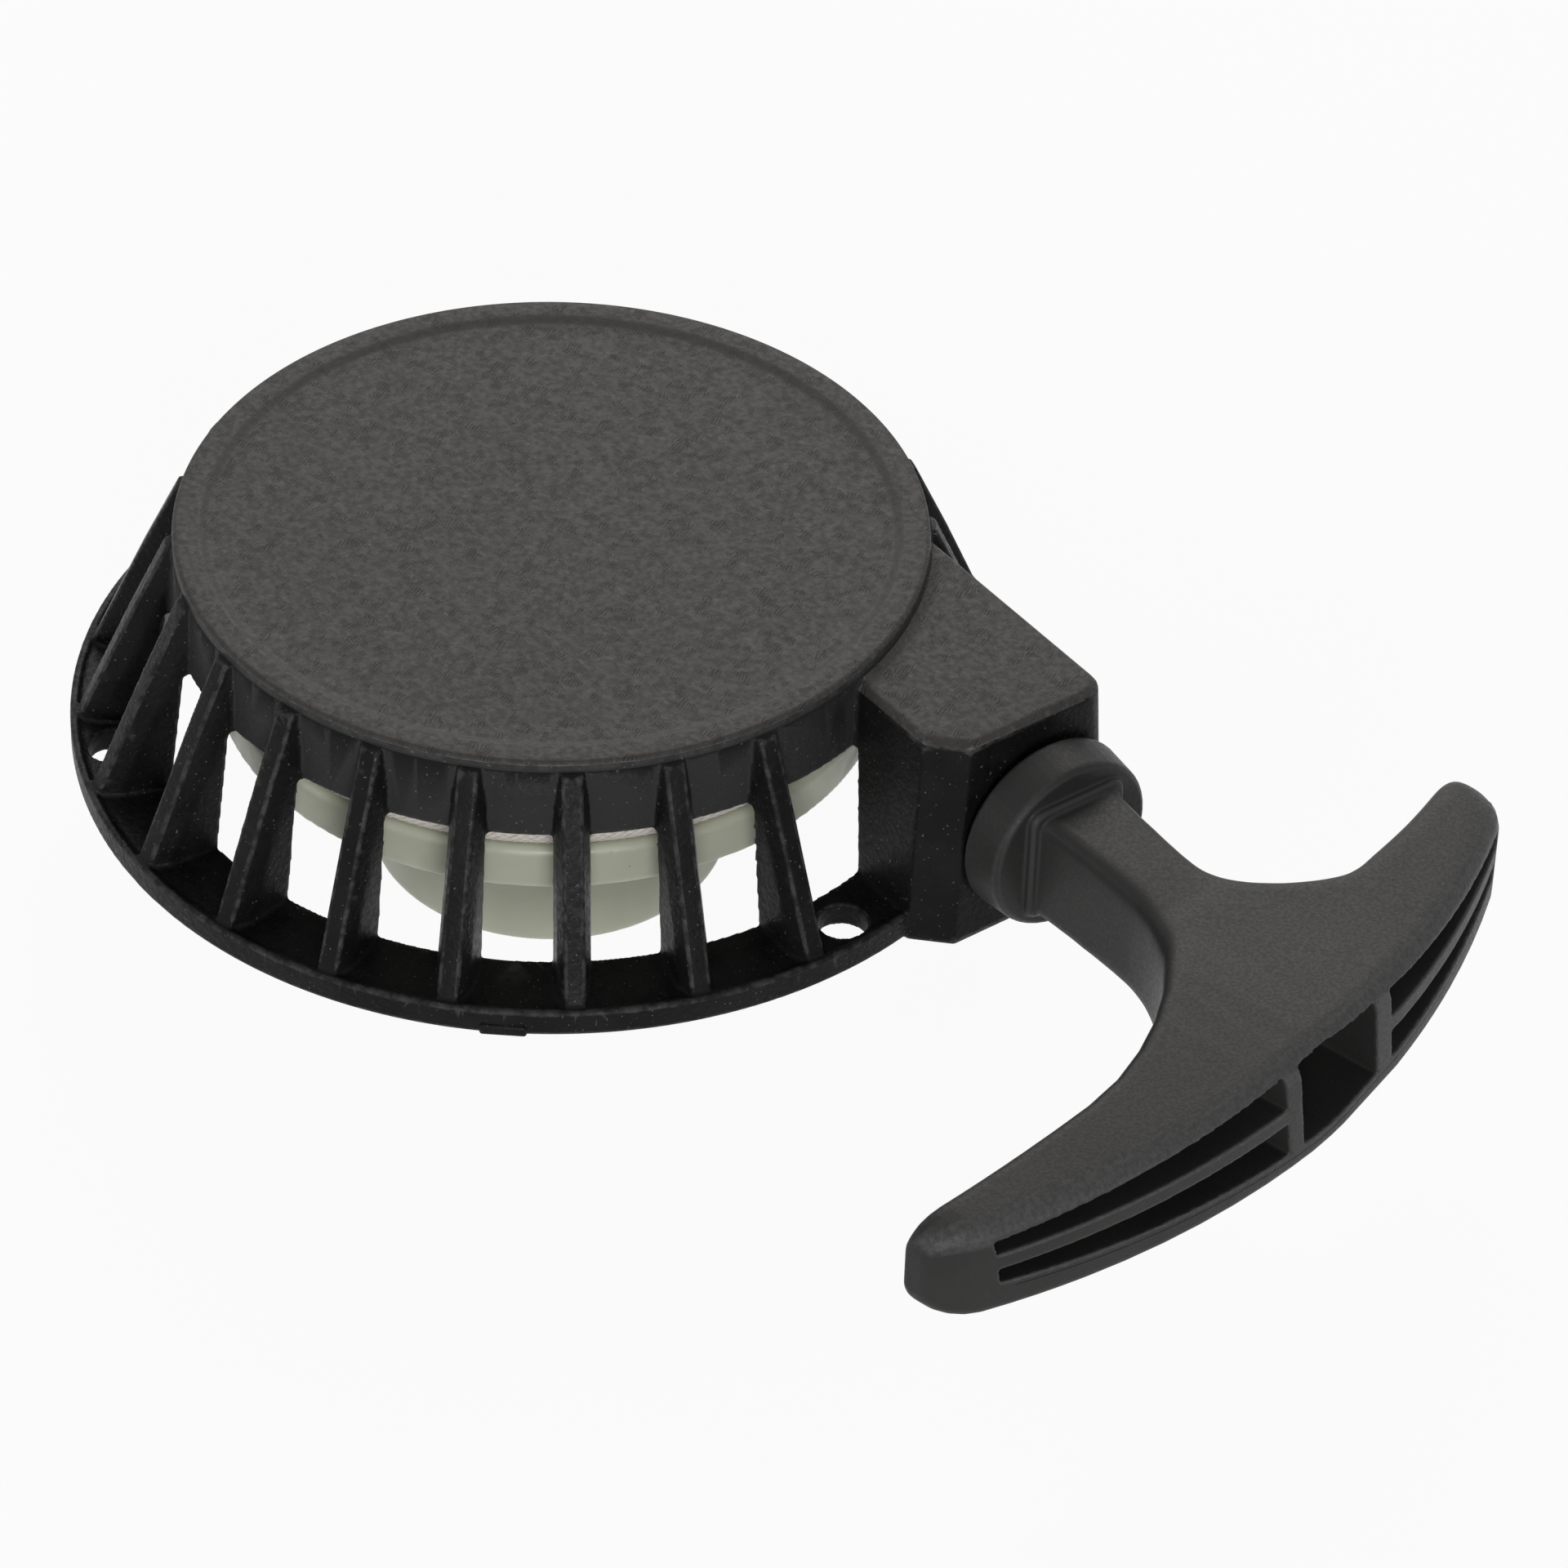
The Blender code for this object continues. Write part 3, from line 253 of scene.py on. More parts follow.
def maths(tree, operation, first, second=0.0):
    made = tree.nodes.new("ShaderNodeMath")
    made.operation = operation
    for socket, value in zip(made.inputs, (first, second)):
        if isinstance(value, (int, float)):
            socket.default_value = value
        else:
            tree.links.new(value, socket)
    return made.outputs[0]


def blend_colour(tree, share, first, second):
    """Mix two colours, each given as numbers or as another node's output."""
    made = tree.nodes.new("ShaderNodeMix")
    made.data_type = "RGBA"
    for socket, colour in ((made.inputs[6], first), (made.inputs[7], second)):
        if isinstance(colour, tuple):
            socket.default_value = (*colour, 1)
        else:
            tree.links.new(colour, socket)
    tree.links.new(share, made.inputs[0])
    return made.outputs[2]


def emboss(tree, shader, height):
    """Raise the surface by a height in metres."""
    made = tree.nodes.new("ShaderNodeBump")
    made.inputs["Distance"].default_value = 1.0
    tree.links.new(height, made.inputs["Height"])
    tree.links.new(made.outputs[0], shader.inputs["Normal"])


# %% Grained nylon of the top
CREASE_STEP = 0.42 * MM
CREASE_ACROSS = (0.88, 0.47)


def grained_nylon():
    made, tree, shader = new_finish("grained_nylon", (0.043, 0.040, 0.037), 0.55, specular=0.25)
    place = object_place(tree)
    split = tree.nodes.new("ShaderNodeSeparateXYZ")
    tree.links.new(place, split.inputs[0])
    swings = [share * TURN / CREASE_STEP for share in CREASE_ACROSS]
    across, along = (maths(tree, "MULTIPLY", split.outputs[i], swings[i]) for i in (0, 1))
    wander = maths(tree, "MULTIPLY", noise(tree, place, 600, 1), 16.0)
    ripples = maths(tree, "SINE", maths(tree, "ADD", maths(tree, "ADD", across, along), wander))
    bunches = rescale(tree, noise(tree, place, 480, 2), 0.52, 0.64)
    creases = maths(tree, "MULTIPLY", rescale(tree, ripples, 0.1, 0.9), bunches)
    pebbles = noise(tree, place, 1100, 3, 0.6)
    dabs = rescale(tree, noise(tree, place, 1000, 1), 0.62, 0.70, 0, 0.6)
    # Raised pebbles are painted paler and low ones darker: painted light on the grain's bumps.
    lit_share = rescale(tree, pebbles, 0.3, 0.7)
    pebble_lit_tone = blend_colour(tree, lit_share, (0.037, 0.034, 0.031), (0.050, 0.047, 0.043))
    dabbed = blend_colour(tree, dabs, pebble_lit_tone, (0.085, 0.088, 0.092))
    # The creases are painted darker: painted shade in the grain's creases.
    crease_shaded = blend_colour(tree, maths(tree, "MULTIPLY", creases, 0.8), dabbed, (0.012, 0.011, 0.011))
    flaked = rescale(tree, noise(tree, place, 1100, 3), 0.4, 0.65, 0.2, 1.0)
    # Outer edges are painted paler: a painted highlight, with some wear.
    edge_highlight_and_wear = maths(tree, "MULTIPLY", rescale(tree, mesh_value(tree, "edge_wear_and_highlight"), 0.4, 1.0), flaked)
    edges_highlit_and_worn = blend_colour(tree, edge_highlight_and_wear, crease_shaded, (0.15, 0.15, 0.155))
    # The rim's slope is painted paler all round: painted light.
    slope_lit = maths(tree, "MULTIPLY", mesh_value(tree, "rim_slope"), 0.7)
    finished = blend_colour(tree, slope_lit, edges_highlit_and_worn, (0.068, 0.063, 0.057))
    tree.links.new(finished, shader.inputs["Base Color"])
    tree.links.new(rescale(tree, pebbles, 0.3, 0.7, 0.62, 0.50), shader.inputs["Roughness"])
    raised = maths(tree, "MULTIPLY", pebbles, 0.10 * MM)
    sunk = maths(tree, "MULTIPLY", creases, 0.05 * MM)
    emboss(tree, shader, maths(tree, "SUBTRACT", raised, sunk))
    return made


top_nylon = grained_nylon()
print("finish:", top_nylon.name)


# %% Rubbed nylon of the walls
def rubbed_and_highlit_nylon():
    made, tree, shader = new_finish("rubbed_and_highlit_nylon", (0.012, 0.012, 0.0125), 0.4, specular=0.09)
    place = object_place(tree)
    ripple = noise(tree, place, 1300, 3, 0.6)
    patches = rescale(tree, noise(tree, place, 140, 2), 0.35, 0.65)
    # Pale specks: painted glints of the fibres at the skin.
    glint_specks = rescale(tree, noise(tree, place, 2700, 0), 0.78, 0.84)
    flaked = rescale(tree, noise(tree, place, 700, 3), 0.35, 0.65, 0.15, 1.0)
    # Outer edges are painted paler: a painted highlight, with some wear.
    edge_highlight_and_wear = maths(tree, "MULTIPLY", rescale(tree, mesh_value(tree, "edge_wear_and_highlight"), 0.2, 0.9), flaked)
    body = blend_colour(tree, patches, (0.006, 0.006, 0.0065), (0.011, 0.011, 0.0115))
    dulled = blend_colour(tree, mesh_value(tree, "skirt"), body, (0.035, 0.035, 0.036))
    edges_highlit_and_worn = blend_colour(tree, edge_highlight_and_wear, dulled, (0.058, 0.058, 0.059))
    glint_specked = blend_colour(tree, maths(tree, "MULTIPLY", glint_specks, 0.6), edges_highlit_and_worn, (0.20, 0.20, 0.20))
    tree.links.new(glint_specked, shader.inputs["Base Color"])
    tree.links.new(rescale(tree, ripple, 0.3, 0.7, 0.34, 0.50), shader.inputs["Roughness"])
    emboss(tree, shader, maths(tree, "MULTIPLY", ripple, 0.12 * MM))
    return made


wall_nylon = rubbed_and_highlit_nylon()
print("finish:", wall_nylon.name)


# %% [markdown]
# ## Moulded edges
# No edge of a moulding is sharp: the tool's corners are slightly round and the plastic pulls in
# as it cools. Bevelling a solid made by Booleans fails where many small faces meet. Remeshing a
# copy of the CAD solid into fine voxels and smoothing it a little rounds all edges and inner
# corners alike, as moulding does. Decimate then thins the flat areas.

# %% Melt a copy of a CAD node
SAME_POINT = 0.001 * MM
WEIGHT_LEVELS = 10


def piece_from(name, mesh, finish, body):
    """Make a mesh a visible piece that rides on a body."""
    made = bpy.data.objects.new(name, mesh)
    bpy.context.scene.collection.objects.link(made)
    mesh.materials.clear()
    mesh.materials.append(finish)
    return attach(made, body)


def settled(mesh, modifiers, weights=None):
    """The mesh after a row of modifiers, each given as its kind and its settings.

    weights, from 0 to 1 for each vertex, become a vertex group of that name.
    """
    wax = bpy.data.objects.new("wax", mesh)
    bpy.context.scene.collection.objects.link(wax)
    if weights is not None:
        layer = wax.vertex_groups.new(name="weights")
        for level in range(1, WEIGHT_LEVELS + 1):
            chosen = np.flatnonzero(np.round(weights * WEIGHT_LEVELS) == level)
            layer.add(chosen.tolist(), level / WEIGHT_LEVELS, "REPLACE")
    for kind, settings in modifiers:
        made = wax.modifiers.new(kind, kind)
        for name, value in settings.items():
            setattr(made, name, value)
    bpy.context.view_layer.update()
    evaluated = wax.evaluated_get(bpy.context.evaluated_depsgraph_get())
    result = bpy.data.meshes.new_from_object(evaluated)
    bpy.data.objects.remove(wax)
    result.shade_smooth()
    return result


def melted_copy(node, voxel, passes):
    """A dense copy of a CAD node's mesh with every edge rounded by about one voxel."""
    bm = bmesh.new()
    bm.from_mesh(frame["nodes"][node].data)
    bmesh.ops.remove_doubles(bm, verts=bm.verts, dist=SAME_POINT)
    mesh = bpy.data.meshes.new(node + "_melt")
    bm.to_mesh(mesh)
    bm.free()
    melt = ("REMESH", {"mode": "VOXEL", "voxel_size": voxel})
    soften = ("SMOOTH", {"factor": 0.5, "iterations": passes})
    return settled(mesh, [melt, soften])


def thin(keep):
    return ("DECIMATE", {"ratio": keep})


# %% [markdown]
# The CAD solid is faceted: a turned surface has 72 flats. A place in the middle of a flat lies a
# few hundredths of a millimetre inside the true circle, enough for the light to show it. Moving
# every point out by the share that its angle calls for makes the turned surfaces round again.

# %% Take the flats out of turned surfaces
FLATS = 72


def read_points(mesh, field="co"):
    values = np.empty(len(mesh.vertices) * 3, dtype=np.float32)
    mesh.vertices.foreach_get(field, values)
    return values.reshape(-1, 3)


def make_round(mesh):
    points = read_points(mesh)
    across = points[:, :2] - np.array(REEL_AXIS.xy, dtype=np.float32)
    flat = TURN / FLATS
    off_middle = np.mod(np.arctan2(across[:, 1], across[:, 0]), flat) - flat / 2
    growth = np.cos(off_middle) / math.cos(flat / 2)
    points[:, :2] += across * (growth - 1)[:, None]
    mesh.vertices.foreach_set("co", points.ravel())
    mesh.update()


# %% [markdown]
# Handling rubs the outer edges pale, and the materials paint them paler still, as a painted highlight.
# How sharply the surface bends outwards at each vertex can be read from its neighbours, and is stored on
# the mesh, where the material finds it. It is measured before the mesh is thinned, while the vertices
# still lie evenly, and Decimate carries it along. The Geometry node's Pointiness gives much the same, but
# it changes with the mesh's density.

# %% Store how sharp each edge is
SHARPEST = 1.9 * MM  # where the mean bend has this radius or less, an edge gets the full pale colour of wear and painted highlight
BLUNTEST = 3.2 * MM  # where it has this radius or more, an edge gets none of it
EDGE_MARK_BLUR = 5  # rounds of averaging with the neighbours
NO_STEP = 1e-14  # keeps the division safe where a vertex has no neighbours


def add_number(mesh, name, values):
    layer = mesh.attributes.new(name, "FLOAT", "POINT")
    layer.data.foreach_set("value", np.ascontiguousarray(values, dtype=np.float32))


def mark_edges(mesh):
    """Store the edge attribute, which carries wear and a painted highlight: 1 on sharp outer edges, 0 on
    flat or hollow places.
    """
    points = read_points(mesh)
    normals = read_points(mesh, "normal")
    ends = np.empty(len(mesh.edges) * 2, dtype=np.int32)
    mesh.edges.foreach_get("vertices", ends)
    pairs = ends.reshape(-1, 2)
    here, there = np.concatenate((pairs, pairs[:, ::-1])).T
    step = points[there] - points[here]
    count = len(points)
    bend = np.bincount(here, -2 * (normals[here] * step).sum(axis=1), count)
    bend /= np.bincount(here, (step * step).sum(axis=1), count) + NO_STEP
    partners = np.bincount(here, minlength=count) + 1
    for _ in range(EDGE_MARK_BLUR):
        bend = (bend + np.bincount(here, bend[there], count)) / partners
    wear_and_highlight = np.clip((bend - 1 / BLUNTEST) / (1 / SHARPEST - 1 / BLUNTEST), 0, 1)
    add_number(mesh, "edge_wear_and_highlight", wear_and_highlight)
    return wear_and_highlight


# %% [markdown]
# ## The cover
# The cover is one moulding. Its walls, fins, flange and outlet block come from the melted copy.
# Its top is cut away from it just above the fins, because the thin raised rim and the crisp outer
# edge need a cleaner surface than voxels give. The cut is closed, so both pieces stay solid.

# %% Cover walls
COVER_VOXEL = 0.29 * MM
COVER_PASSES = 2
COVER_KEEP = 0.17  # leaves the walls under 200,000 triangles
TOP_Z = REEL_AXIS.z + 32.6 * MM
TOP_R = 48.6 * MM
SEAM_Z = TOP_Z - 1.5 * MM
BLOCK_TOP_Z = REEL_AXIS.z + 30.4 * MM
BLOCK_REACH = 17 * MM  # sideways from the rope line, past both of the block's sides
BLOCK_TOP_BAND = 0.8 * MM  # above and below that level, which takes in the rounded edges
SKIRT_IN, SKIRT_OUT = TOP_R - 1.0 * MM, TOP_R + 0.6 * MM

cover_mesh = melted_copy("starter_cover", COVER_VOXEL, COVER_PASSES)
wear_and_highlight = mark_edges(cover_mesh)
cover_mesh = settled(cover_mesh, [thin(COVER_KEEP)])
make_round(cover_mesh)
bm = bmesh.new()
bm.from_mesh(cover_mesh)
everything = bm.verts[:] + bm.edges[:] + bm.faces[:]
cut = bmesh.ops.bisect_plane(
    bm, geom=everything, plane_co=(0, 0, SEAM_Z), plane_no=(0, 0, 1), clear_outer=True
)
cut_edges = [item for item in cut["geom_cut"] if isinstance(item, bmesh.types.BMEdge)]
bmesh.ops.holes_fill(bm, edges=cut_edges, sides=0)
bm.to_mesh(cover_mesh)
bm.free()
across = read_points(cover_mesh)[:, :2] - np.array(REEL_AXIS.xy)
out_by = np.linalg.norm(across, axis=1)
outward = (read_points(cover_mesh, "normal")[:, :2] * across).sum(axis=1) / out_by
at_skirt = (out_by > SKIRT_IN) & (out_by < SKIRT_OUT)
add_number(cover_mesh, "skirt", at_skirt & (outward > 0.8))
cover = piece_from("cover_walls", cover_mesh, wall_nylon, "cover")
cover_mesh.materials.append(top_nylon)
block_top = 0
for face in cover_mesh.polygons:
    from_axis = face.center - REEL_AXIS
    on_block = from_axis.x > 0 and abs(from_axis.y - ROPE_LINE.y) < BLOCK_REACH
    beyond = on_block and from_axis.xy.length > TOP_R + 0.3 * MM
    if beyond and face.normal.z > 0.4 and abs(face.center.z - BLOCK_TOP_Z) < BLOCK_TOP_BAND:
        face.material_index = 1
        block_top += 1
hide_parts("starter_cover")
print("cover walls:", len(cover_mesh.polygons), "faces,", block_top, "on the block's top")
print("rubbed share of the walls:", round(float((wear_and_highlight > 0.5).mean()), 3))


# %% [markdown]
# The top is a turned form: a flat disc, a soft slope up to a broad low rim, and a rounded outer edge. The
# slope is painted paler, as painted light, and the edge's lower end carries a pale line, a painted
# highlight with some wear. Spin turns its outline once about the reel axis.

# %% Cover top
def spun(profile, steps):
    """Turn an outline about the reel axis: (radius, height) points in mm from the axis and the top."""
    bm = bmesh.new()
    verts = [bm.verts.new((r * MM, 0, z * MM)) for r, z in profile]
    edges = [bm.edges.new(pair) for pair in zip(verts, verts[1:])]
    bmesh.ops.spin(
        bm, geom=verts + edges, cent=(0, 0, 0), axis=(0, 0, 1), angle=TURN, steps=steps, use_merge=True
    )
    bmesh.ops.remove_doubles(bm, verts=bm.verts, dist=SAME_POINT)
    bmesh.ops.holes_fill(bm, edges=[e for e in bm.edges if e.is_boundary], sides=0)
    bmesh.ops.recalc_face_normals(bm, faces=bm.faces)
    bmesh.ops.translate(bm, verts=bm.verts, vec=(REEL_AXIS.x, REEL_AXIS.y, TOP_Z))
    return bm


def mesh_of(name, bm):
    made = bpy.data.meshes.new(name)
    bm.to_mesh(made)
    bm.free()
    made.shade_smooth()
    return made


def quarter_round(centre, radius, steps):
    """Points of a quarter circle from its top, clockwise to its right-hand end."""
    swings = [TURN / 4 * (1 - i / steps) for i in range(steps + 1)]
    return [(centre[0] + radius * math.cos(a), centre[1] + radius * math.sin(a)) for a in swings]


# Lengths in millimetres, as in the outline
RIM_H = 0.6
SLOPE_FROM, SLOPE_TO = 43.6, 45.5
SLOPE_STEPS = 8
DISC_RINGS = (0, 22, 40, SLOPE_FROM)
EDGE_X = TOP_R / MM
EDGE_ROUND = 0.7
EDGE_STEPS = 6
EDGE_FOOT = (EDGE_X + 0.01, -0.95)
SEAM_FOOT = (EDGE_X + 0.04, -1.52)  # just past the seam, so that no gap shows
WORN_LIT_FROM, WORN_LIT_TO = 0.47, 0.97  # the pale line on the edge, a painted highlight with some wear, measured down from the top
TOP_STEPS = 240
SHARP_ANGLE = math.radians(50)

top_profile = [(r, -RIM_H) for r in DISC_RINGS]
for i in range(1, SLOPE_STEPS):
    share = i / SLOPE_STEPS
    smooth = share * share * (3 - 2 * share)
    top_profile.append((SLOPE_FROM + (SLOPE_TO - SLOPE_FROM) * share, -RIM_H * (1 - smooth)))
top_profile += [(SLOPE_TO, 0), (EDGE_X - 2 * EDGE_ROUND, 0)]
top_profile += quarter_round((EDGE_X - EDGE_ROUND, -EDGE_ROUND), EDGE_ROUND, EDGE_STEPS)
top_profile += [EDGE_FOOT, SEAM_FOOT, (0, SEAM_FOOT[1])]
top_mesh = mesh_of("cover_top", spun(top_profile, TOP_STEPS))
top_mesh.set_sharp_from_angle(angle=SHARP_ANGLE)
drop = (TOP_Z - read_points(top_mesh)[:, 2]) / MM
out_by = np.linalg.norm(read_points(top_mesh)[:, :2] - np.array(REEL_AXIS.xy), axis=1) / MM
at_edge = out_by > EDGE_X - 0.3
# The edge band gets the pale edge colour: a painted highlight, with some wear.
add_number(top_mesh, "edge_wear_and_highlight", at_edge & (drop > WORN_LIT_FROM) & (drop < WORN_LIT_TO))
add_number(top_mesh, "rim_slope", (out_by > SLOPE_FROM + 0.1) & (out_by < SLOPE_TO - 0.1))
add_number(top_mesh, "skirt", np.ones(len(top_mesh.vertices)))
piece_from("cover_top", top_mesh, top_nylon, "cover")
top_mesh.materials.append(wall_nylon)
for face in top_mesh.polygons:
    face.material_index = int(face.normal.z < 0.2)
print("cover top:", len(top_mesh.polygons), "faces")

# %% [markdown]
# The mould was filled through a gate at the flange's edge. Where the cold runner was broken off, a
# low stub a few millimetres wide is left. It is a bevelled block, sunk into the edge.

# %% Gate stub
FLANGE_R = 62.5 * MM
STUB_AT = math.radians(-40.3)
STUB_SIZE = (1.4 * MM, 6.0 * MM, 1.6 * MM)  # outwards, along the edge and upwards
STUB_PROUD = 0.35 * MM
STUB_ROUND = 0.45 * MM

bm = bmesh.new()
bmesh.ops.create_cube(bm, size=1)
bmesh.ops.scale(bm, verts=bm.verts, vec=STUB_SIZE)
bmesh.ops.bevel(
    bm, geom=bm.edges[:], offset=STUB_ROUND, segments=4, profile=0.5, affect="EDGES", material=-1
)
stub_r = FLANGE_R + STUB_PROUD - STUB_SIZE[0] / 2
bmesh.ops.translate(bm, verts=bm.verts, vec=(stub_r, 0, STUB_SIZE[2] / 2))
bmesh.ops.rotate(bm, verts=bm.verts, cent=(0, 0, 0), matrix=Matrix.Rotation(STUB_AT, 3, "Z"))
bmesh.ops.translate(bm, verts=bm.verts, vec=REEL_AXIS)
stub_mesh = mesh_of("gate_stub", bm)
piece_from("gate_stub", stub_mesh, wall_nylon, "cover")
print("gate stub:", len(stub_mesh.polygons), "faces")

# %% [markdown]
# ## The handle
# The grip is a second moulding in a smoother nylon. Melting gives its soft edges. Two marks are added: a
# pale, grainy band along the rounded rear edge, which is a painted highlight broken up by scuffs, and a
# fine parting line from the moulding along the lip under the slots. Both follow the bar's curve, so they
# are worked out for each vertex from the bar's own measures and stored on the mesh.

# %% Handle mesh
GRIP_VOXEL = 0.17 * MM
GRIP_PASSES = 14
GRIP_KEEP = 0.15
GRIP_MID = Vector((114.4, 23.2)) * MM  # middle of the bar, from the reel axis
GRIP_SKEW = math.radians(14)
GRIP_REAR_R = 125 * MM  # radius of the bar's rear edge
GRIP_REAR_N = 12.3 * MM  # from the middle back to that edge
GRIP_HALF = 54 * MM
SLOT_MID_H = 7.2 * MM  # half height of the slots at the middle and at the tips
SLOT_TIP_H = 3.1 * MM
FLOW_FROM, FLOW_TO = 82 * MM, 109 * MM  # where the stem flows into the bar
FLOW_FADE = 8 * MM
FLOW_CLEAR = 4.2 * MM  # the rope's bore inside this radius stays as it is
FLOW_PASSES = 350
REAR_DEPTH, REAR_FADE = 6 * MM, 2 * MM  # the strip along the rear edge that gets the painted highlight band
BAND_FROM, BAND_TO = 0.12, 0.52  # on a scale from 0 on the flats to 1 halfway round the edge
LINE_SHORT = 6 * MM  # the parting line stops this far from the tips

handle_mesh = melted_copy("pull_handle", GRIP_VOXEL, GRIP_PASSES)
from_rope = read_points(handle_mesh) - np.array(REEL_AXIS + ROPE_LINE)
inside = np.minimum(from_rope[:, 0] - FLOW_FROM, FLOW_TO - from_rope[:, 0]) / FLOW_FADE
clear_of_bore = np.linalg.norm(from_rope[:, 1:], axis=1) > FLOW_CLEAR
facing_front = read_points(handle_mesh, "normal")[:, 0] < 0.3
flow = np.where(clear_of_bore & facing_front, np.clip(inside, 0, 1), 0)
flow_together = ("SMOOTH", {"factor": 0.5, "iterations": FLOW_PASSES, "vertex_group": "weights"})
handle_mesh = settled(handle_mesh, [flow_together], flow)
mark_edges(handle_mesh)
handle_mesh = settled(handle_mesh, [thin(GRIP_KEEP)])
points = read_points(handle_mesh) - np.array(REEL_AXIS)
normals = read_points(handle_mesh, "normal")
rearward = np.array((math.cos(GRIP_SKEW), math.sin(GRIP_SKEW)))
sideways = np.array((-math.sin(GRIP_SKEW), math.cos(GRIP_SKEW)))
from_mid = points[:, :2] - np.array(GRIP_MID)
along = from_mid @ sideways
arc_centre = np.array(GRIP_MID) + (GRIP_REAR_N - GRIP_REAR_R) * rearward
spoke = points[:, :2] - arc_centre
radius = np.linalg.norm(spoke, axis=1)
facing_rear = (normals[:, :2] * spoke).sum(axis=1) / radius
at_rear = np.clip((radius - GRIP_REAR_R + REAR_DEPTH) / REAR_FADE, 0, 1)
corner = 2 * np.clip(facing_rear, 0, 1) * np.clip(normals[:, 2], 0, 1)
rounded = np.clip((corner - BAND_FROM) / (BAND_TO - BAND_FROM), 0, 1)
add_number(handle_mesh, "rear_highlight_band", at_rear * rounded)
slot_h = SLOT_MID_H + (SLOT_TIP_H - SLOT_MID_H) * np.abs(along) / GRIP_HALF
add_number(handle_mesh, "lip_drop", (points[:, 2] - ROPE_LINE.z + slot_h) / MM)
add_number(handle_mesh, "at_rear", at_rear * (np.abs(along) < GRIP_HALF - LINE_SHORT))
print("handle:", len(handle_mesh.polygons), "faces")


# %% Handle finish
def worn_and_highlit_grip_nylon():
    made, tree, shader = new_finish("worn_and_highlit_grip_nylon", (0.026, 0.026, 0.025), 0.42, specular=0.17)
    place = object_place(tree)
    grain = noise(tree, place, 2200, 2, 0.6)
    patches = rescale(tree, noise(tree, place, 70, 2), 0.3, 0.7)
    body = blend_colour(tree, patches, (0.025, 0.0245, 0.024), (0.032, 0.031, 0.030))
    # Outer edges are painted paler: a painted highlight, with some wear.
    edge_highlight_and_wear = maths(tree, "MULTIPLY", mesh_value(tree, "edge_wear_and_highlight"), 0.45)
    edges_highlit_and_worn = blend_colour(tree, edge_highlight_and_wear, body, (0.055, 0.055, 0.055))
    scuffs = rescale(tree, noise(tree, place, 1500, 3, 0.7), 0.3, 0.7, 0.45, 1.0)
    # A pale band along the rounded rear edge: a painted highlight, broken up by scuffs.
    highlight_band = maths(tree, "MULTIPLY", mesh_value(tree, "rear_highlight_band"), scuffs)
    highlight_banded = blend_colour(tree, highlight_band, edges_highlit_and_worn, (0.095, 0.094, 0.093))
    distance = maths(tree, "ABSOLUTE", mesh_value(tree, "lip_drop"))
    thread = rescale(tree, distance, 0.05, 0.17, 1, 0)
    line = maths(tree, "MULTIPLY", thread, mesh_value(tree, "at_rear"))
    tree.links.new(blend_colour(tree, line, highlight_banded, (0.006, 0.006, 0.006)), shader.inputs["Base Color"])
    tree.links.new(rescale(tree, grain, 0.3, 0.7, 0.40, 0.52), shader.inputs["Roughness"])
    raised = maths(tree, "MULTIPLY", grain, 0.03 * MM)
    scuffed = maths(tree, "MULTIPLY", maths(tree, "MULTIPLY", highlight_band, scuffs), 0.05 * MM)
    sunk = maths(tree, "MULTIPLY", line, 0.12 * MM)
    emboss(tree, shader, maths(tree, "SUBTRACT", maths(tree, "ADD", raised, scuffed), sunk))
    return made


grip_nylon = worn_and_highlit_grip_nylon()
handle = piece_from("handle_moulding", handle_mesh, grip_nylon, "handle")
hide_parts("pull_handle")
print("finish:", grip_nylon.name)

# %% [markdown]
# ## The reel
# The reel is natural acetal: pale, a little green, and milky, so light soaks in and comes out
# softened. Subsurface scattering does that. The reel is a turned form, so the melted copy only
# has to round its lips.

# %% Reel finish
def milky_acetal():
    made, tree, shader = new_finish("milky_acetal", (0.56, 0.58, 0.465), 0.38, specular=0.4)
    shader.inputs["Subsurface Weight"].default_value = 0.6
    shader.inputs["Subsurface Radius"].default_value = (1.0, 1.0, 0.8)
    shader.inputs["Subsurface Scale"].default_value = 2.5 * MM
    place = object_place(tree)
    clouds = rescale(tree, noise(tree, place, 55, 3), 0.3, 0.7)
    milk = blend_colour(tree, clouds, (0.54, 0.56, 0.445), (0.59, 0.61, 0.49))
    # The lips are painted paler: a painted highlight, with some wear.
    worn = maths(tree, "MULTIPLY", mesh_value(tree, "edge_wear_and_highlight"), 0.5)
    lips_highlit = blend_colour(tree, worn, milk, (0.72, 0.73, 0.64))
    dirt = rescale(tree, noise(tree, place, 900, 2), 0.74, 0.8, 0, 0.6)
    tree.links.new(blend_colour(tree, dirt, lips_highlit, (0.12, 0.11, 0.08)), shader.inputs["Base Color"])
    sheen = rescale(tree, noise(tree, place, 300, 2), 0.3, 0.7, 0.3, 0.46)
    tree.links.new(sheen, shader.inputs["Roughness"])
    emboss(tree, shader, maths(tree, "MULTIPLY", noise(tree, place, 420, 2), 0.05 * MM))
    return made


reel_acetal = milky_acetal()
print("finish:", reel_acetal.name)

# %% Rope reel
REEL_VOXEL = 0.42 * MM
REEL_PASSES = 3
REEL_KEEP = 0.35

reel_mesh = melted_copy("rope_reel", REEL_VOXEL, REEL_PASSES)
mark_edges(reel_mesh)
reel_mesh = settled(reel_mesh, [thin(REEL_KEEP)])
make_round(reel_mesh)
reel = piece_from("reel_moulding", reel_mesh, reel_acetal, "reel")
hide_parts("rope_reel")
print("reel:", len(reel_mesh.polygons), "faces")

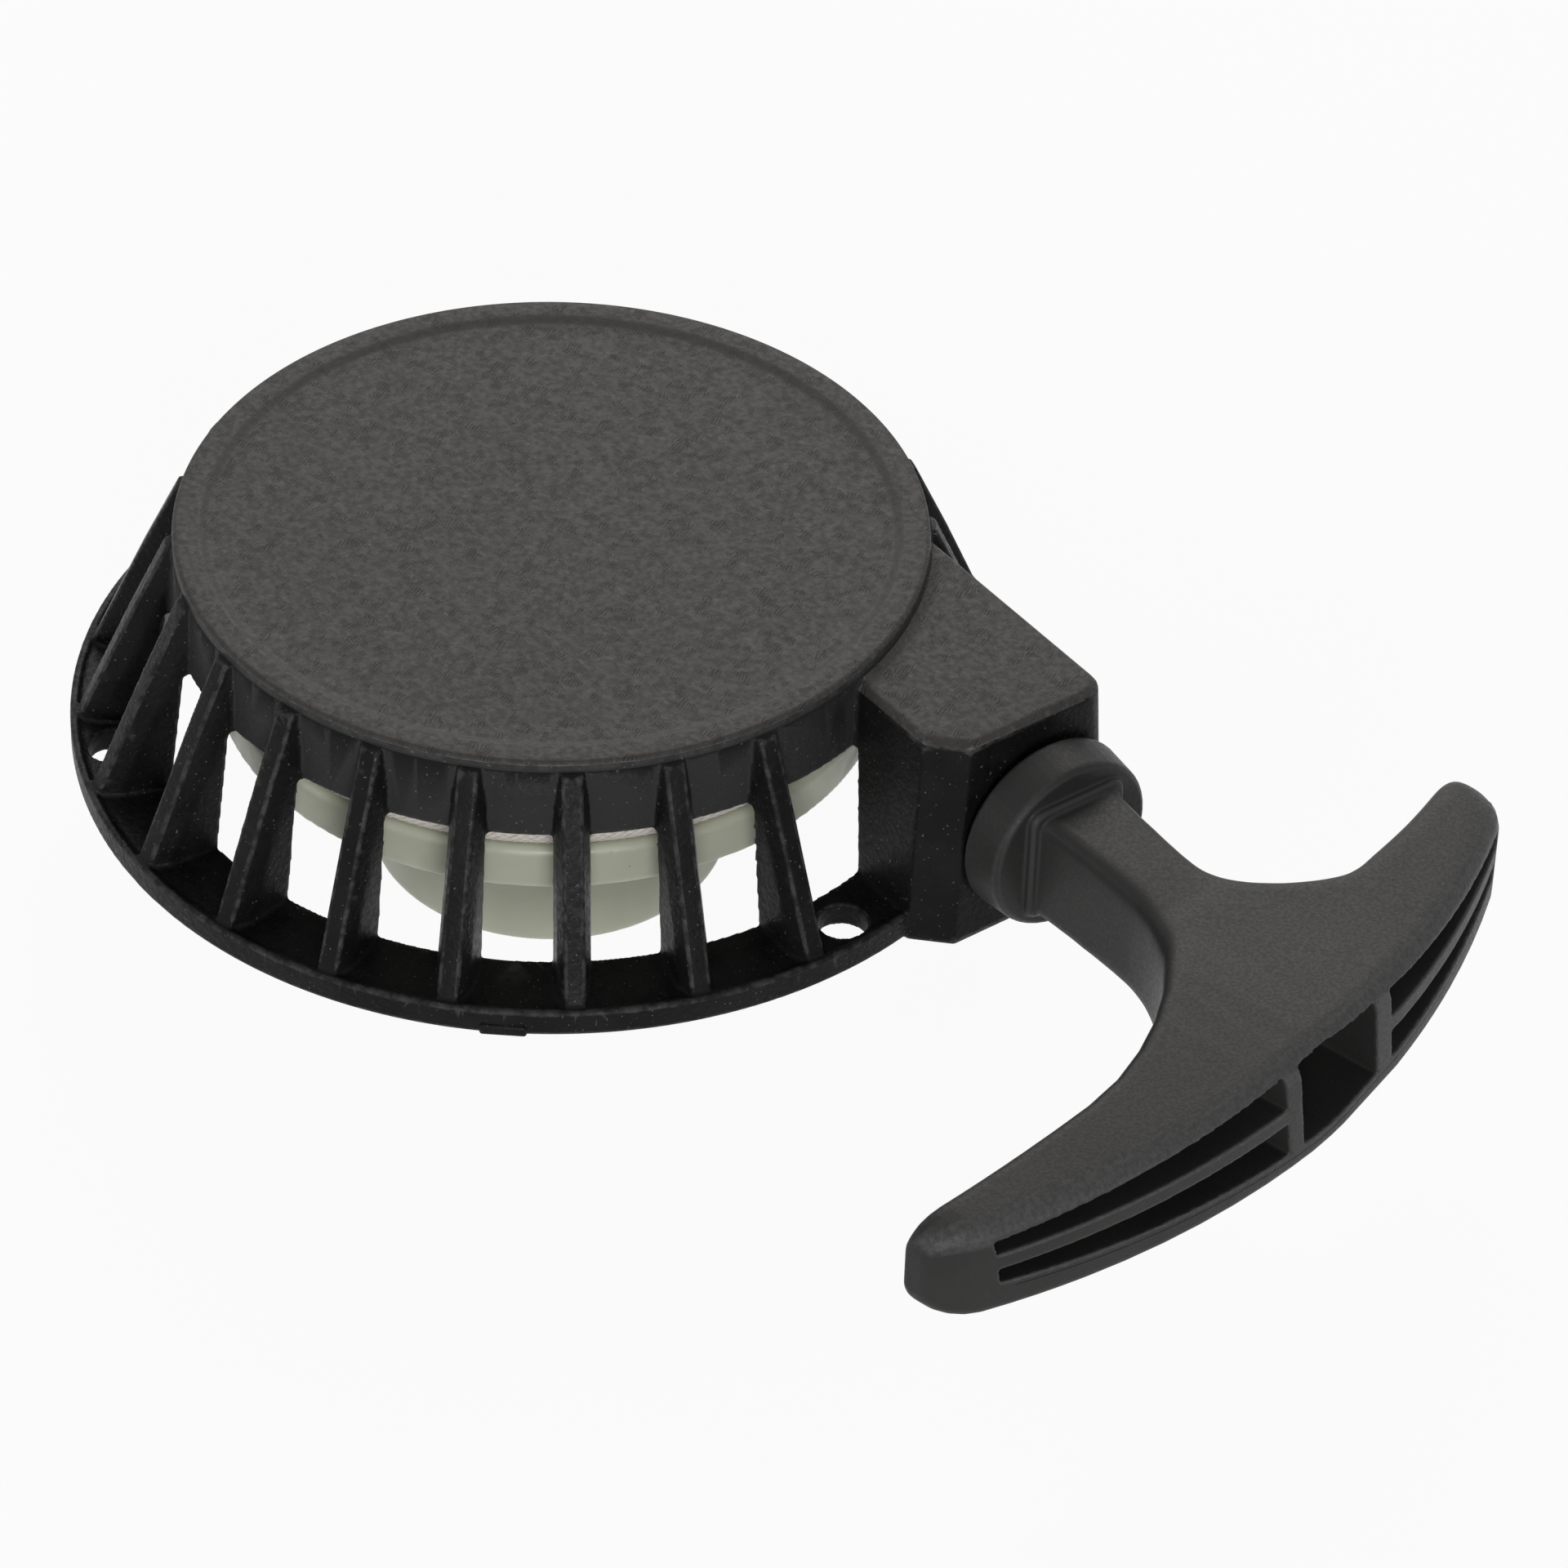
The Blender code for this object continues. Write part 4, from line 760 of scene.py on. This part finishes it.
# %% [markdown]
# ## The rope
# The rope is a braid of twenty strands, ten each way round, three millimetres thick. A bevelled
# curve gives a plain tube along its route, ring by ring. Each vertex is then moved in or out by
# the height of the strand that lies on top there. A bump map alone would leave the outline
# smooth, and it would be lost in the STL files.

# %% Braid a tube along a route
ROPE_R = 1.5 * MM
STRANDS = 10
STRAND_PITCH = 1.34 * MM
STRAND_DEPTH = 0.26 * MM
RING_SIDES = 40
RING_STEP = 0.34 * MM
DIP = 0.45  # height of a strand where it dives under another


def tube_mesh(name, route, radius, cyclic=False):
    """A plain tube along a row of points, RING_SIDES vertices for each point."""
    curve = bpy.data.curves.new(name, "CURVE")
    curve.dimensions = "3D"
    curve.bevel_depth = radius
    curve.bevel_resolution = (RING_SIDES - 4) // 2
    spline = curve.splines.new("POLY")
    spline.points.add(len(route) - 1)
    spline.use_cyclic_u = cyclic
    for point, spot in zip(spline.points, route):
        point.co = (*spot, 1)
    draft = bpy.data.objects.new(name, curve)
    bpy.context.scene.collection.objects.link(draft)
    bpy.context.view_layer.update()
    evaluated = draft.evaluated_get(bpy.context.evaluated_depsgraph_get())
    mesh = bpy.data.meshes.new_from_object(evaluated)
    bpy.data.objects.remove(draft)
    return mesh


def strand_height(lefthand, righthand):
    """Height, 0 to 1, of the strand on top where a left-hand and a right-hand strand cross."""
    left_share, right_share = np.mod(lefthand, 1), np.mod(righthand, 1)
    left_on_top = np.mod(np.floor(lefthand) + np.floor(righthand), 2) < 1
    across = np.where(left_on_top, left_share, right_share)
    along = np.where(left_on_top, right_share, left_share)
    return np.sqrt(np.sin(math.pi * across)) * (DIP + (1 - DIP) * np.sin(math.pi * along))


def braid(mesh, radius):
    """Raise the strands of a braid on a plain tube, and close its ends."""
    rings = read_points(mesh).reshape(-1, RING_SIDES, 3)
    centres = rings.mean(axis=1, keepdims=True)
    outward = (rings - centres) / np.linalg.norm(rings - centres, axis=2, keepdims=True)
    steps = np.linalg.norm(np.diff(centres[:, 0], axis=0), axis=1)
    run = np.concatenate(([0], np.cumsum(steps)))[:, None] / STRAND_PITCH
    turn = np.arange(RING_SIDES)[None, :] * STRANDS / RING_SIDES
    height = strand_height(turn + run, turn - run)
    swollen = centres + outward * (radius - STRAND_DEPTH * (1 - height))[:, :, None]
    mesh.vertices.foreach_set("co", swollen.astype(np.float32).ravel())
    add_number(mesh, "lay", height.ravel())
    bm = bmesh.new()
    bm.from_mesh(mesh)
    bmesh.ops.holes_fill(bm, edges=[e for e in bm.edges if e.is_boundary], sides=0)
    bmesh.ops.recalc_face_normals(bm, faces=bm.faces)
    bm.to_mesh(mesh)
    bm.free()
    mesh.shade_smooth()
    mesh.update()


# %% [markdown]
# The strands are off-white polyester. The grooves between them hold shade and engine dust, so the
# stored height also darkens them, and a fine noise stands for the single fibres.

# %% Rope finish
def rope_finish(name, lay):
    """Off-white braid; lay(tree, place) gives the height of the strand at a place."""
    made, tree, shader = new_finish(name, (0.72, 0.66, 0.58), 0.8, specular=0.2)
    shader.inputs["Sheen Weight"].default_value = 0.25
    place = object_place(tree)
    height = lay(tree, place)
    fibres = noise(tree, place, 5000, 2)
    shade = blend_colour(tree, rescale(tree, height, 0.15, 0.8), (0.48, 0.42, 0.36), (0.88, 0.83, 0.76))
    worn = blend_colour(tree, rescale(tree, fibres, 0.3, 0.7, 0, 0.3), shade, (0.70, 0.64, 0.56))
    tree.links.new(worn, shader.inputs["Base Color"])
    emboss(tree, shader, maths(tree, "MULTIPLY", fibres, 0.04 * MM))
    return made


braided_rope = rope_finish("braided_rope", lambda tree, place: mesh_value(tree, "lay"))
print("finish:", braided_rope.name)

# %% [markdown]
# The rope's route is the one in the CAD model: three and a quarter flat turns in the reel's
# groove, a bend in through the drum to a stopper knot, and from the outermost turn a lead that
# sinks to the outlet. Each turn lies round and steps in to the next at one place, as on a drum.
# The knots are overhand knots, drawn as the closed trefoil curve that such a knot makes.

# %% Rope on the reel
ROPE_LEVEL = 16.6 * MM
WIND_OUTER_R = 42.6 * MM
WIND_PITCH = 3.45 * MM
WIND_START = math.radians(79)
WIND_TURNS = 3.25
STEP_FROM = 0.75  # share of a turn after which the rope steps in
LEAD_IN_RINGS = 8
KNOT_BEND_R = 2.6 * MM
KNOT_BEND_RINGS = 12
INTO_DRUM = 4 * MM
INTO_DRUM_RINGS = 11


def around_axis(r, angle, z):
    return REEL_AXIS + Vector((r * math.cos(angle), r * math.sin(angle), z))


def rope_piece(name, route, body, radius=ROPE_R, cyclic=False):
    mesh = tube_mesh(name, route, radius, cyclic)
    braid(mesh, radius)
    print(name + ":", len(mesh.polygons), "faces")
    return piece_from(name, mesh, braided_rope, body)


away = Vector((math.sin(WIND_START), -math.cos(WIND_START), 0))
winding_start = around_axis(WIND_OUTER_R, WIND_START, ROPE_LEVEL)
count = int(WIND_TURNS * TURN * (WIND_OUTER_R - WIND_PITCH * WIND_TURNS / 2) / RING_STEP)
lead_in = [2 * ROPE_R * (1 - i / LEAD_IN_RINGS) for i in range(LEAD_IN_RINGS)]
winding = [winding_start + away * reach for reach in lead_in]
for i in range(count + 1):
    turns = WIND_TURNS * i / count
    step = min(max((turns % 1 - STEP_FROM) / (1 - STEP_FROM), 0), 1)
    drawn_in = WIND_PITCH * (turns // 1 + step * step * (3 - 2 * step))
    winding.append(around_axis(WIND_OUTER_R - drawn_in, WIND_START + TURN * turns, ROPE_LEVEL))
knot_angle = WIND_START + TURN * WIND_TURNS
inward = -Vector((math.cos(knot_angle), math.sin(knot_angle), 0))
onward = Vector((inward.y, -inward.x, 0))
bend_centre = winding[-1] + KNOT_BEND_R * inward
for i in range(1, KNOT_BEND_RINGS + 1):
    swing = TURN / 4 * i / KNOT_BEND_RINGS
    winding.append(bend_centre + KNOT_BEND_R * (math.sin(swing) * onward - math.cos(swing) * inward))
drum_step = inward * INTO_DRUM / INTO_DRUM_RINGS
winding += [winding[-1] + drum_step * i for i in range(1, INTO_DRUM_RINGS + 1)]
wound_rope = rope_piece("rope_on_reel", winding, "reel")
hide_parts("rope_winding")


# %% Knots
KNOT_AT_R = 22.4 * MM
REEL_KNOT_Z = 16.2 * MM
REEL_KNOT_SIZE = 1.3 * MM
REEL_KNOT_DEPTH = 0.9 * MM
REEL_KNOT_ROPE_R = 1.0 * MM  # drawn tight


def trefoil(centre, across, upward, through, size, depth, count=150):
    """The closed curve of an overhand knot in a ball of about the given size."""
    route = []
    for i in range(count):
        t = TURN * i / count
        flat = (math.sin(t) + 2 * math.sin(2 * t)) * across + (math.cos(t) - 2 * math.cos(2 * t)) * upward
        route.append(centre + flat * size / 3 - through * depth * math.sin(3 * t))
    return route


knot_place = around_axis(KNOT_AT_R, knot_angle, REEL_KNOT_Z) + KNOT_BEND_R * onward
knot_axes = (onward, Vector((0, 0, 1)), inward)
knot_route = trefoil(knot_place, *knot_axes, REEL_KNOT_SIZE, REEL_KNOT_DEPTH)
small_knot = rope_piece("knot_in_reel", knot_route, "reel", REEL_KNOT_ROPE_R, cyclic=True)
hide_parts("reel_knot")

# %% Rope to the outlet
OUTLET_X = 59 * MM
LEAD_GAP = 0.3 * MM  # between the rope that turns and the rope that stays still
LEAD_FIRST_RINGS = 9
LEAD_RINGS = 140
LEAVE_PULL, OUTLET_PULL = 16 * MM, 14 * MM  # how far each end of the curve keeps its direction


def on_rope_line(x):
    return REEL_AXIS + ROPE_LINE + Vector((x, 0, 0))


lead_start = winding_start + away * (2 * ROPE_R + LEAD_GAP)
first = lead_start + 2 * ROPE_R * away
last = on_rope_line(OUTLET_X)
pulls = (first, first + LEAVE_PULL * away, last - Vector((OUTLET_PULL, 0, 0)), last)
lead = [lead_start + (first - lead_start) * i / LEAD_FIRST_RINGS for i in range(LEAD_FIRST_RINGS)]
for i in range(LEAD_RINGS + 1):
    u = i / LEAD_RINGS
    weights = ((1 - u) ** 3, 3 * u * (1 - u) ** 2, 3 * u * u * (1 - u), u ** 3)
    lead.append(sum((w * p for w, p in zip(weights, pulls)), Vector()))
rope_lead = rope_piece("rope_to_outlet", lead, "cover")
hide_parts("rope_lead")

# %% [markdown]
# Between the outlet and the handle the rope is straight. When the handle is pulled, this stretch grows
# from a few millimetres to 0.7 m. It is a plain tube. Raised strands would be drawn out with it, so here
# the braid is worked out in the material, from the distance along X and the angle round the rope's axis,
# which stay true at any length.

# %% Rope through the outlet
def lay_of_taut_rope(tree, place):
    split = tree.nodes.new("ShaderNodeSeparateXYZ")
    tree.links.new(place, split.inputs[0])
    axis = REEL_AXIS + ROPE_LINE
    across = maths(tree, "SUBTRACT", split.outputs[1], axis.y)
    above = maths(tree, "SUBTRACT", split.outputs[2], axis.z)
    turn = maths(tree, "MULTIPLY", maths(tree, "ARCTAN2", above, across), STRANDS / 2)
    run = maths(tree, "MULTIPLY", split.outputs[0], math.pi / STRAND_PITCH)
    lefthand = maths(tree, "SINE", maths(tree, "ADD", turn, run))
    righthand = maths(tree, "SINE", maths(tree, "SUBTRACT", turn, run))
    return maths(tree, "ABSOLUTE", maths(tree, "MULTIPLY", lefthand, righthand))


TAUT_FROM, TAUT_TO = 58.5 * MM, 77 * MM
TAUT_RINGS = 90
TAUT_R = ROPE_R - 0.03 * MM
taut_rope = rope_finish("taut_braided_rope", lay_of_taut_rope)
taut = [on_rope_line(TAUT_FROM + (TAUT_TO - TAUT_FROM) * i / TAUT_RINGS) for i in range(TAUT_RINGS + 1)]
taut_mesh = tube_mesh("rope_through_outlet", taut, TAUT_R)
bm = bmesh.new()
bm.from_mesh(taut_mesh)
bmesh.ops.holes_fill(bm, edges=[e for e in bm.edges if e.is_boundary], sides=0)
bmesh.ops.recalc_face_normals(bm, faces=bm.faces)
taut_mesh = mesh_of("rope_through_outlet", bm)
stretch = bpy.data.objects.new("rope_through_outlet", taut_mesh)
bpy.context.scene.collection.objects.link(stretch)
taut_mesh.materials.append(taut_rope)
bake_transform(stretch)
print("rope through the outlet:", len(taut_mesh.polygons), "faces")

# %% Rope in the handle
TAIL_FROM, TAIL_TO = 76.5 * MM, 102 * MM
KNOT_X = 104 * MM
KNOT_SIZE = 2.0 * MM
KNOT_DEPTH = 2.6 * MM
KNOT_ROPE_R = 1.25 * MM
END_FROM, END_TO = 105 * MM, 110.4 * MM


def along_pull(start, end):
    count = max(int((end - start) / RING_STEP), 2)
    return [on_rope_line(start + (end - start) * i / count) for i in range(count + 1)]


rope_end = rope_piece("rope_in_handle", along_pull(TAIL_FROM, TAIL_TO), "handle")
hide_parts("rope_tail")
axes = (Vector((0, 1, 0)), Vector((0, 0, 1)), Vector((1, 0, 0)))
end_knot = trefoil(on_rope_line(KNOT_X), *axes, KNOT_SIZE, KNOT_DEPTH)
rope_piece("knot_in_handle", end_knot, "handle", KNOT_ROPE_R, cyclic=True)
rope_piece("rope_stub", along_pull(END_FROM, END_TO), "handle")

# %% [markdown]
# ## Steel
# The eyelet, washer and screw are zinc plated, a pale grey with faint clouds and a blue-yellow
# tint. The recoil spring is hardened strip with a blue-grey oxide. The CAD solids have the right
# shapes, so only their finish changes.

# %% Steel finishes
def plated_steel(name, dark, pale, roughness, scratches):
    made, tree, shader = new_finish(name, dark, roughness, metallic=1.0)
    place = object_place(tree)
    clouds = rescale(tree, noise(tree, place, 450, 3, 0.6), 0.3, 0.7)
    tree.links.new(blend_colour(tree, clouds, dark, pale), shader.inputs["Base Color"])
    fine = noise(tree, place, 3500, 2)
    sheen = rescale(tree, fine, 0.3, 0.7, roughness - 0.08, roughness + 0.1)
    tree.links.new(sheen, shader.inputs["Roughness"])
    emboss(tree, shader, maths(tree, "MULTIPLY", fine, scratches))
    return made


zinc = plated_steel("zinc_plate", (0.50, 0.50, 0.46), (0.62, 0.63, 0.66), 0.32, 0.01 * MM)
blued = plated_steel("blued_strip", (0.14, 0.15, 0.18), (0.24, 0.25, 0.28), 0.28, 0.006 * MM)
for node, finish in (
    ("rope_eyelet", zinc),
    ("retaining_washer", zinc),
    ("retaining_screw", zinc),
    ("recoil_spring", blued),
):
    frame["nodes"][node].data.materials.clear()
    frame["nodes"][node].data.materials.append(finish)
print("steel finishes:", zinc.name, blued.name)
